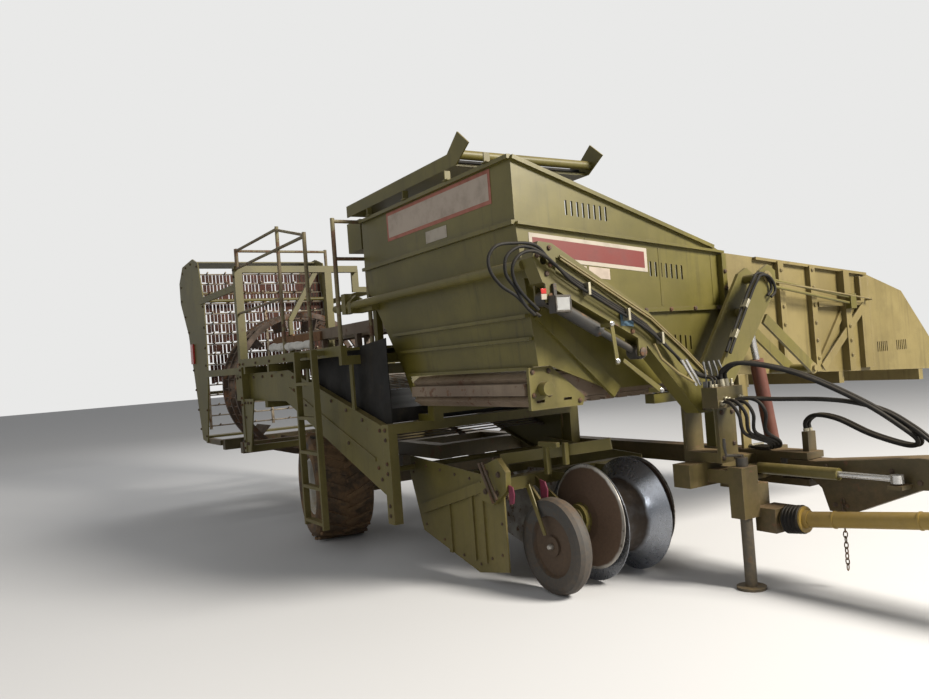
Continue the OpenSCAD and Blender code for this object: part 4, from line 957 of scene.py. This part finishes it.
class HARVESTER_OT_fixed_hoses(bpy.types.Operator):
    """Adds the hydraulic lines that are clipped along the arm and the head, with their unions and levers"""
    bl_idname = "harvester.fixed_hoses"
    bl_label = "Clipped hoses"

    def execute(self, context):
        # these lines are four fifths as thick as the free hoses; radius in millimetres
        radius = context.scene.harvester_sizes.hose_diameter * 400
        # thin pipes along the arm, in the tan paint as painted sunlight
        pipes = [tube([(3281, -1060, 1990 - k), (3281, -841, 1872 - k), (3281, -420, 1640 - k),
                       (3281, -160, 1440 - k), (3281, 20, 1284 - k)], 6, 10) for k in (0, 16)]
        pipes += [tube([(3362, -489, 1478), (3362, -441, 1392), (3362, -314, 1300), (3362, -180, 1233)],
                       8, 12)]
        make("arm_pipes", joined(*pipes), "tan paint", "frame")
        lines = []
        clips = []
        # three loops round the arm's head that run down to its cylinder
        outer = [(3286, -1130, 1960), (3292, -1230, 2044), (3292, -1376, 2052), (3290, -1475, 2037),
                 (3290, -1528, 1981), (3290, -1524, 1907), (3290, -1464, 1832), (3290, -1377, 1780),
                 (3290, -1305, 1716), (3292, -1230, 1668)]
        inner = [(3304, -1120, 1940), (3306, -1190, 1995), (3306, -1280, 2030), (3306, -1361, 2026),
                 (3304, -1430, 1976), (3300, -1436, 1890), (3298, -1381, 1817), (3298, -1327, 1728),
                 (3298, -1269, 1675)]
        third = [(3318, -1110, 1925), (3320, -1180, 1975), (3320, -1270, 2008), (3318, -1350, 1990),
                 (3314, -1400, 1930), (3310, -1390, 1850), (3308, -1330, 1770), (3308, -1250, 1700)]
        lines += [tube(curve_through(route, 8), 9, 10) for route in (outer, inner, third)]
        # from the head along the arm's face to the valve block
        for k in range(3):
            route = [(3286 + k * 16, -1130 + k * 10, 1960 - k * 18),
                     (3280 + k * 14, -1000, 1880 - k * 20), (3280 + k * 14, -760, 1752 - k * 20),
                     (3280 + k * 14, -480, 1604 - k * 20), (3284 + k * 14, -290, 1446 - k * 14),
                     (3306 + k * 12, -200 + k * 6, 1340 - k * 8), (3366, -140 + k * 24, 1268),
                     (3440, -130 + k * 30, 1252), (3440, -130 + k * 30, 1201)]
            lines.append(tube(curve_through(route, 8), 8, 10))
        for y, z in ((-900, 1818), (-620, 1668), (-370, 1522)):
            clips.append(slab(rectangle(-8, -34, 8, 34), (3270.4, y, z - 12), LEFT, UP, 52))
        # lines from the valve block down to the head and along the rail
        for k, (y, bend) in enumerate(((-130, 0), (-95, 20), (-60, 42), (25, 60))):
            route = [(3500.4, y, 1110 + 20 * (k % 2)), (3560 + bend, y, 1110),
                     (3600 + bend, y + 20, 1040), (3590 + bend * 0.4, y + 70, 930),
                     (3555, 180 + k * 34, 850), (3480, 300 + k * 30, 800), (3400, 360 + k * 25, 785),
                     (3300, 410 + k * 28, 778), (3206, 446 + k * 26, 774)]
            lines.append(tube(curve_through(route, 8), radius, 10))
        clips.append(block((3218, 430, 760.3), (3242, 545, 792)))
        make("clipped_hoses", joined(*lines), "black rubber", "frame")
        # unions on the valve block, its levers and spools
        unions = [placed(turned([[0, 0], [15, 0], [15, 14], [11, 14], [11, 34], [0, 34]], sides=6),
                         [(3500, y, 1110 + 20 * (k % 2))
                          for k, y in enumerate((-130, -95, -60, 25))], AHEAD),
                  placed(turned([[0, 0], [14, 0], [14, 16], [10, 16], [10, 40], [0, 40]], sides=6),
                         [(3440, y, 1200) for y in (-130, -100, -70, -40, 0, 40)], UP)]
        make("hose_clips", joined(*clips, *unions), "zinc fitting", "frame", bevel=0.001)
        spools = [block((3392, -152 + k * 50, 1200), (3424, -116 + k * 50, 1236)) for k in range(4)]
        levers = [tube([(3406, -134 + k * 50, 1230), (3404, -134 + k * 50, 1290),
                        (3392 - 6 * k, -134 + k * 50, 1352)], [6, 5, 8], 8) for k in range(4)]
        make("valve_levers", joined(*spools, *levers), "valve grey", "frame", bevel=0.001)
        # short loop at the top of the lifting arm
        loop = [(3330, 150, 1400), (3330, 215, 1500), (3330, 290, 1610), (3334, 400, 1780),
                (3340, 441, 1838), (3340, 482, 1877), (3340, 555, 1872), (3340, 604, 1828),
                (3340, 612, 1772), (3336, 575, 1737)]
        more = [(x + 14, y + 16, z - 12) for x, y, z in loop]
        shapes = [tube(curve_through(route, 8), radius * 0.9, 10) for route in (loop, more)]
        held = [slab(rectangle(-10, -30, 10, 30), (3320.4, y, z), (0, 0.8, -0.6), (0, 0.6, 0.8), 44)
                for y, z in ((220, 1505), (345, 1690))]
        make("arm_hose_loop", joined(*shapes), "black rubber", "unloader")
        make("arm_hose_clips", joined(*held), "zinc fitting", "unloader", bevel=0.001)
        return {"FINISHED"}


class HARVESTER_OT_bunker_trim(bpy.types.Operator):
    """Adds seams, brackets, markers, the lamp's glass, the hub linkage, the rolled cover and the boards"""
    bl_idname = "harvester.bunker_trim"
    bl_label = "Bunker trim"

    def execute(self, context):
        # seams of the front wall
        strips = []
        for y in (-640, -40, 440):
            top = seam_height(y) - 34
            strips.append(block((3020.4, y - 9, 1720), (3022.4, y + 9, top)))
        make("bunker_seams", joined(*strips), "hopper paint", "frame")
        # brackets that hold the raised sheets, on the rim of the right wall
        brackets = [block((x, -1188, 2604.4), (x + 60, -1140, 2612)) for x in (1180, 1760, 2330, 2780)]
        brackets += [block((x + 24, -1186, 2612), (x + 34, -1142, 2668)) for x in (1180, 1760, 2330, 2780)]
        make("rim_brackets", joined(*brackets), "olive paint", "frame", bevel=0.002)
        # red and white marker beside the lamp, and a red one at the housing's rear edge
        white = block((3271, -1200, 1756), (3277, -1164, 1786))
        make("marker_white", white, "sign white", "frame", bevel=0.001)
        red = block((3271, -1200, 1787), (3277, -1164, 1816))
        rear = block((-3836, -1366, 1680), (-3716, -1341, 1930))
        make("marker_red", joined(red, rear), "signal red", "frame", bevel=0.004)
        # lamp: rim and glass on the front of its body
        rim = joined(block((3330.4, -1153, 1683), (3336, -1047, 1692)),
                     block((3330.4, -1153, 1763), (3336, -1047, 1772)),
                     block((3330.4, -1153, 1692.3), (3336, -1144, 1762.7)),
                     block((3330.4, -1056, 1692.3), (3336, -1047, 1762.7)))
        make("lamp_rim", rim, "black enamel", "frame", bevel=0.001)
        glass = block((3330.4, -1143, 1693), (3334, -1057, 1762))
        make("lamp_glass", glass, "lamp glass", "frame", bevel=0.001)
        # linkage between the arm and the hub: flat link, lever and two rods
        link = slab(rectangle(-13, 0, 13, 246), (3347, -764, 1380), LEFT, (0, -0.106, 0.994), 6)
        lever = slab([[-16, 0], [16, 0], [11, 330], [-11, 330]], (3356, -459, 1213), (0, 0.57, 0.82),
                     (0, -0.822, 0.57), 7)
        rods = [tube([(3362, -279 + s, 1374), (3362, -171 + s, 1219)], 9, 12) for s in (0, 34)]
        joints = placed(bolt(22), [(3353.5, -764, 1400), (3353.5, -787, 1606), (3363.5, -459, 1213)], AHEAD)
        stay = block((3270.4, -800, 1590), (3347, -778, 1612))
        foot = block((3270.4, -470, 1200), (3356, -448, 1226))
        make("hub_linkage", joined(link, lever, stay, foot), "olive paint", "frame",
             bevel=0.001)
        make("hub_rods", joined(*rods, joints), "chromed rod", "frame")
        # rolled cover that lies along the platform's right edge, and the sorting table's side board
        along = np.linspace(0, 1, 22)
        height = 1722 - 26 * along + 4 * np.sin(along * 23)
        centre = np.stack([-740 + along * 1040, -1338 + 5 * np.sin(along * 17), height], -1)
        roll = tube(centre, 34 + 5 * np.sin(along * 29) + 3 * np.sin(along * 61), 18)
        make("rolled_cover", roll, "grey roll", "frame")
        plank = slab([[0, 0], [1420, 0], [1420, 88], [0, 96]], (-2170, -822, 1772), AHEAD, UP, 24)
        top = block((-2170, -820, 1869), (-1580, -310, 1887))
        make("sorting_boards", joined(plank, top), "plank wood", "frame", bevel=0.002)
        return {"FINISHED"}


class HARVESTER_OT_unloader_trim(bpy.types.Operator):
    """Adds the outer post and braces of the unloading section, and the post behind the hub"""
    bl_idname = "harvester.unloader_trim"
    bl_label = "Unloader trim"

    def execute(self, context):
        # the outer post and braces in the tan paint, painted sunlight
        post = [block((2990.4, 2090, 1180), (3032, 2106, 1890)),
                block((2990.4, 2196, 1180), (3032, 2212, 1884)),
                block((3018, 2106.3, 1180), (3032, 2195.7, 1884))]
        level = block((3003, 1560, 1664), (3032, 2089.7, 1700))
        rise = np.array([0, 2120 - 1540, 1664 - 1216.0])
        reach = float(np.linalg.norm(rise))
        rise /= reach
        brace = slab(rectangle(0, -30, reach, 30), (3033, 1540, 1216), rise, np.cross(AHEAD, rise), 10)
        thin = tube([(3124, 640, 1886), (3104, 1400, 1795), (3084, 2146, 1706)], 6, 10)
        stub = tube([(3032.4, 2146, 1706), (3092, 2146, 1706)], 10, 12)
        make("unloader_braces", joined(*post, level, brace, thin, stub), "tan paint",
             "unloader", bevel=0.001)
        # post behind the hub, in the tan paint, painted sunlight
        rear = block((3156, 430, 760.4), (3176, 510, 1240))
        make("hub_rear_post", rear, "tan paint", "frame", bevel=0.003)
        return {"FINISHED"}


class HARVESTER_OT_haulm_fingers(bpy.types.Operator):
    """Adds the rubber fingers that hang before the bars of the haulm web"""
    bl_idname = "harvester.haulm_fingers"
    bl_label = "Rubber fingers"

    def execute(self, context):
        length = context.scene.harvester_sizes.finger_length * 1000
        spread = np.random.default_rng(7)
        shapes = []
        first_bar, last_bar, bar_pitch, finger_pitch = 1525, 2850, 125, 44
        kink, lean = 2300, 0.25
        for bar in range(first_bar, last_bar, bar_pitch):
            x = -3336 - max(bar - kink, 0) * lean
            top = bar - 9
            for y in range(-1258, 250, finger_pitch):
                low = top - length * spread.uniform(0.75, 1.0)
                across = y + spread.uniform(-3, 3)
                shapes.append(block((x, across, low), (x + 6, across + spread.uniform(29, 41), top)))
        make("haulm_fingers", joined(*shapes), "red rubber", "frame")
        return {"FINISHED"}


class HARVESTER_OT_digger_trim(bpy.types.Operator):
    """Adds the disc's cap, the haulm wheel's pin and fork, guards, the spring, rods and uprights"""
    bl_idname = "harvester.digger_trim"
    bl_label = "Digger trim"

    def execute(self, context):
        # the disc's cap turns with it; the haulm wheel's pin stays on its arm
        cap = turned([[0, 0], [66, 0], [66, 12], [52, 16], [46, 22], [28, 26], [0, 26]],
                     (2680, -590.4, 415), RIGHT, 28)
        make("disc_cap_right", cap, "olive paint", "disc_right", bevel=0.001)
        haulm_pin = placed(turned([[0, 0], [17, 0], [17, 22], [12, 30], [0, 30]], sides=20),
                           (2735, -846, 295), RIGHT)
        make("haulm_pin", haulm_pin, "worn steel", "digger")
        # guards in coloured plastic beside the push arm's head
        guard = slab([[0, 0], [40, 6], [56, 60], [44, 110], [0, 120]], (2566, -1010, 560), AHEAD, UP, 10)
        guard_2 = slab([[0, 0], [60, 0], [72, 70], [50, 120], [0, 130]], (2610, -800, 560), AHEAD, UP, 10)
        make("coloured_guards", joined(guard, guard_2), "magenta plastic", "digger",
             bevel=0.003)
        # coil spring of the haulm wheel: turns round its rod
        windings, coil_radius = 9, 22
        turns = np.linspace(0, windings * 2 * math.pi, windings * 14)
        low, high = np.array([2440.0, -930.0, 560.0]), np.array([2300.0, -930.0, 790.0])
        axis = (high - low) / np.linalg.norm(high - low)
        frame_turn = upright(axis)
        spring = (low + np.outer(turns / turns[-1], high - low)
                  + coil_radius * (np.outer(np.cos(turns), frame_turn[:, 0])
                                   + np.outer(np.sin(turns), frame_turn[:, 1])))
        rod = tube([low - axis * 40, high + axis * 30], 9, 12)
        make("digger_spring", tube(spring, 4.5, 8), "rusty iron", "digger")
        make("digger_spring_rod", rod, "rusty iron", "digger")
        # slanting rods before the head plate, and the haulm wheel's fork
        rods = [tube([(2300, -1052, 800), (2440, -1052, 560)], 11, 12),
                tube([(2360, -1066, 810), (2500, -1066, 590)], 9, 12)]
        make("slanting_rods", joined(*rods), "rusty iron", "digger")
        fork = slab([[0, 0], [44, 0], [30, 330], [0, 330]], (2560, -885, 660), (0.86, 0, 0.2),
                    (0.45, 0, -0.893), 8)
        make("haulm_fork", fork, "olive paint", "digger", bevel=0.001)
        # the uprights of the lifting arm and their cross piece
        up = [block((2520, -700, 700), (2556, -664, 900)),
              block((2640, -640, 760), (2672, -608, 900)),
              block((2500, -720, 880), (2690, -690, 912))]
        make("lift_uprights", joined(*up), "olive paint", "digger", bevel=0.003)
        return {"FINISHED"}


class HARVESTER_OT_drive_trim(bpy.types.Operator):
    """Adds the guard's bell and collars, the jack's crank and the hanging chain"""
    bl_idname = "harvester.drive_trim"
    bl_label = "Drive and jack trim"

    def execute(self, context):
        # the shaft's line, from the joint at the gearbox to its front end
        start, end = np.array([3620.0, 200.0, 400.0]), np.array([5200.0, 330.0, 560.0])
        axis = (end - start) / np.linalg.norm(end - start)
        # rubber bell over the joint: one profile with five folds
        folds = []
        for start_of_fold in range(12, 122, 22):
            folds += [[76.2, start_of_fold], [82, start_of_fold + 6], [82, start_of_fold + 14],
                      [76.2, start_of_fold + 19]]
        bell = turned(np.array(folds + [[75.6, 120], [75.3, 14]]), start, axis, 36)
        make("guard_bell", closed_ring(bell, 36), "black rubber", "frame")
        collars = [turned([[0, 0], [52, 0], [50, 26], [0, 26]], start + axis * 131, axis, 32)]
        collars += [turned([[0, 0], [49, 0], [49, 9], [0, 9]], start + axis * d, axis, 32)
                    for d in (300, 760, 1220)]
        make("guard_collars", joined(*collars), "guard yellow", "frame")
        # crank on the jack's bracket
        crank = joined(tube([(3470, 40, 720.4), (3470, 40, 790)], 13, 14),
                       tube([(3470, 40, 784), (3470, -90, 800), (3470, -100, 846), (3470, -100, 900)],
                            9, 12))
        make("jack_crank", crank, "black enamel", "frame")
        # chain that hangs from the tongue: links turned by a quarter one after the other
        links, link_pitch, half_width, half_length = 13, 31, 11, 20
        angle = np.linspace(0, 2 * math.pi, 17)[:-1]
        link_path = np.stack([half_width * np.cos(angle), np.zeros(16), half_length * np.sin(angle)], -1)
        shapes = []
        for k in range(links):
            turn = Matrix.Rotation(math.radians(90 * (k % 2) + 8 * k), 3, "Z")
            ring = link_path @ np.array(turn).T + np.array([3850.0, 414.0, 492.0 - k * link_pitch])
            shapes.append(closed_loop(ring, 3.4, 8))
        make("hanging_chain", joined(*shapes), "rusty iron", "drawbar")
        return {"FINISHED"}


class HARVESTER_PT_panel(bpy.types.Panel):
    """Lists the dresser's steps, sizes and colours"""
    bl_label = "Harvester"
    bl_idname = "HARVESTER_PT_panel"
    bl_space_type = "VIEW_3D"
    bl_region_type = "UI"
    bl_category = "Harvester"

    def draw(self, context):
        for group in (context.scene.harvester_sizes, context.scene.harvester_colours):
            for name in group.__annotations__:
                self.layout.prop(group, name)
        for step in STEPS:
            self.layout.operator(step.bl_idname)


STEPS = (HARVESTER_OT_finishes, HARVESTER_OT_stage, HARVESTER_OT_hoses, HARVESTER_OT_signs,
         HARVESTER_OT_wheels, HARVESTER_OT_sheets, HARVESTER_OT_bolts, HARVESTER_OT_fixed_hoses,
         HARVESTER_OT_bunker_trim, HARVESTER_OT_unloader_trim, HARVESTER_OT_haulm_fingers,
         HARVESTER_OT_digger_trim, HARVESTER_OT_drive_trim)
CLASSES = (HarvesterSizes, HarvesterColours) + STEPS + (HARVESTER_PT_panel,)


def register():
    """Registers the classes and hangs the settings on the scene."""
    for item in CLASSES:
        bpy.utils.register_class(item)
    bpy.types.Scene.harvester_sizes = bpy.props.PointerProperty(type=HarvesterSizes)
    bpy.types.Scene.harvester_colours = bpy.props.PointerProperty(type=HarvesterColours)


def unregister():
    """Takes the settings and the classes away again."""
    del bpy.types.Scene.harvester_colours
    del bpy.types.Scene.harvester_sizes
    for item in reversed(CLASSES):
        bpy.utils.unregister_class(item)


def main():
    """Runs every step in order."""
    register()
    for step in STEPS:
        getattr(bpy.ops.harvester, step.bl_idname.split(".")[1])()


if __name__ == "__main__":
    main()
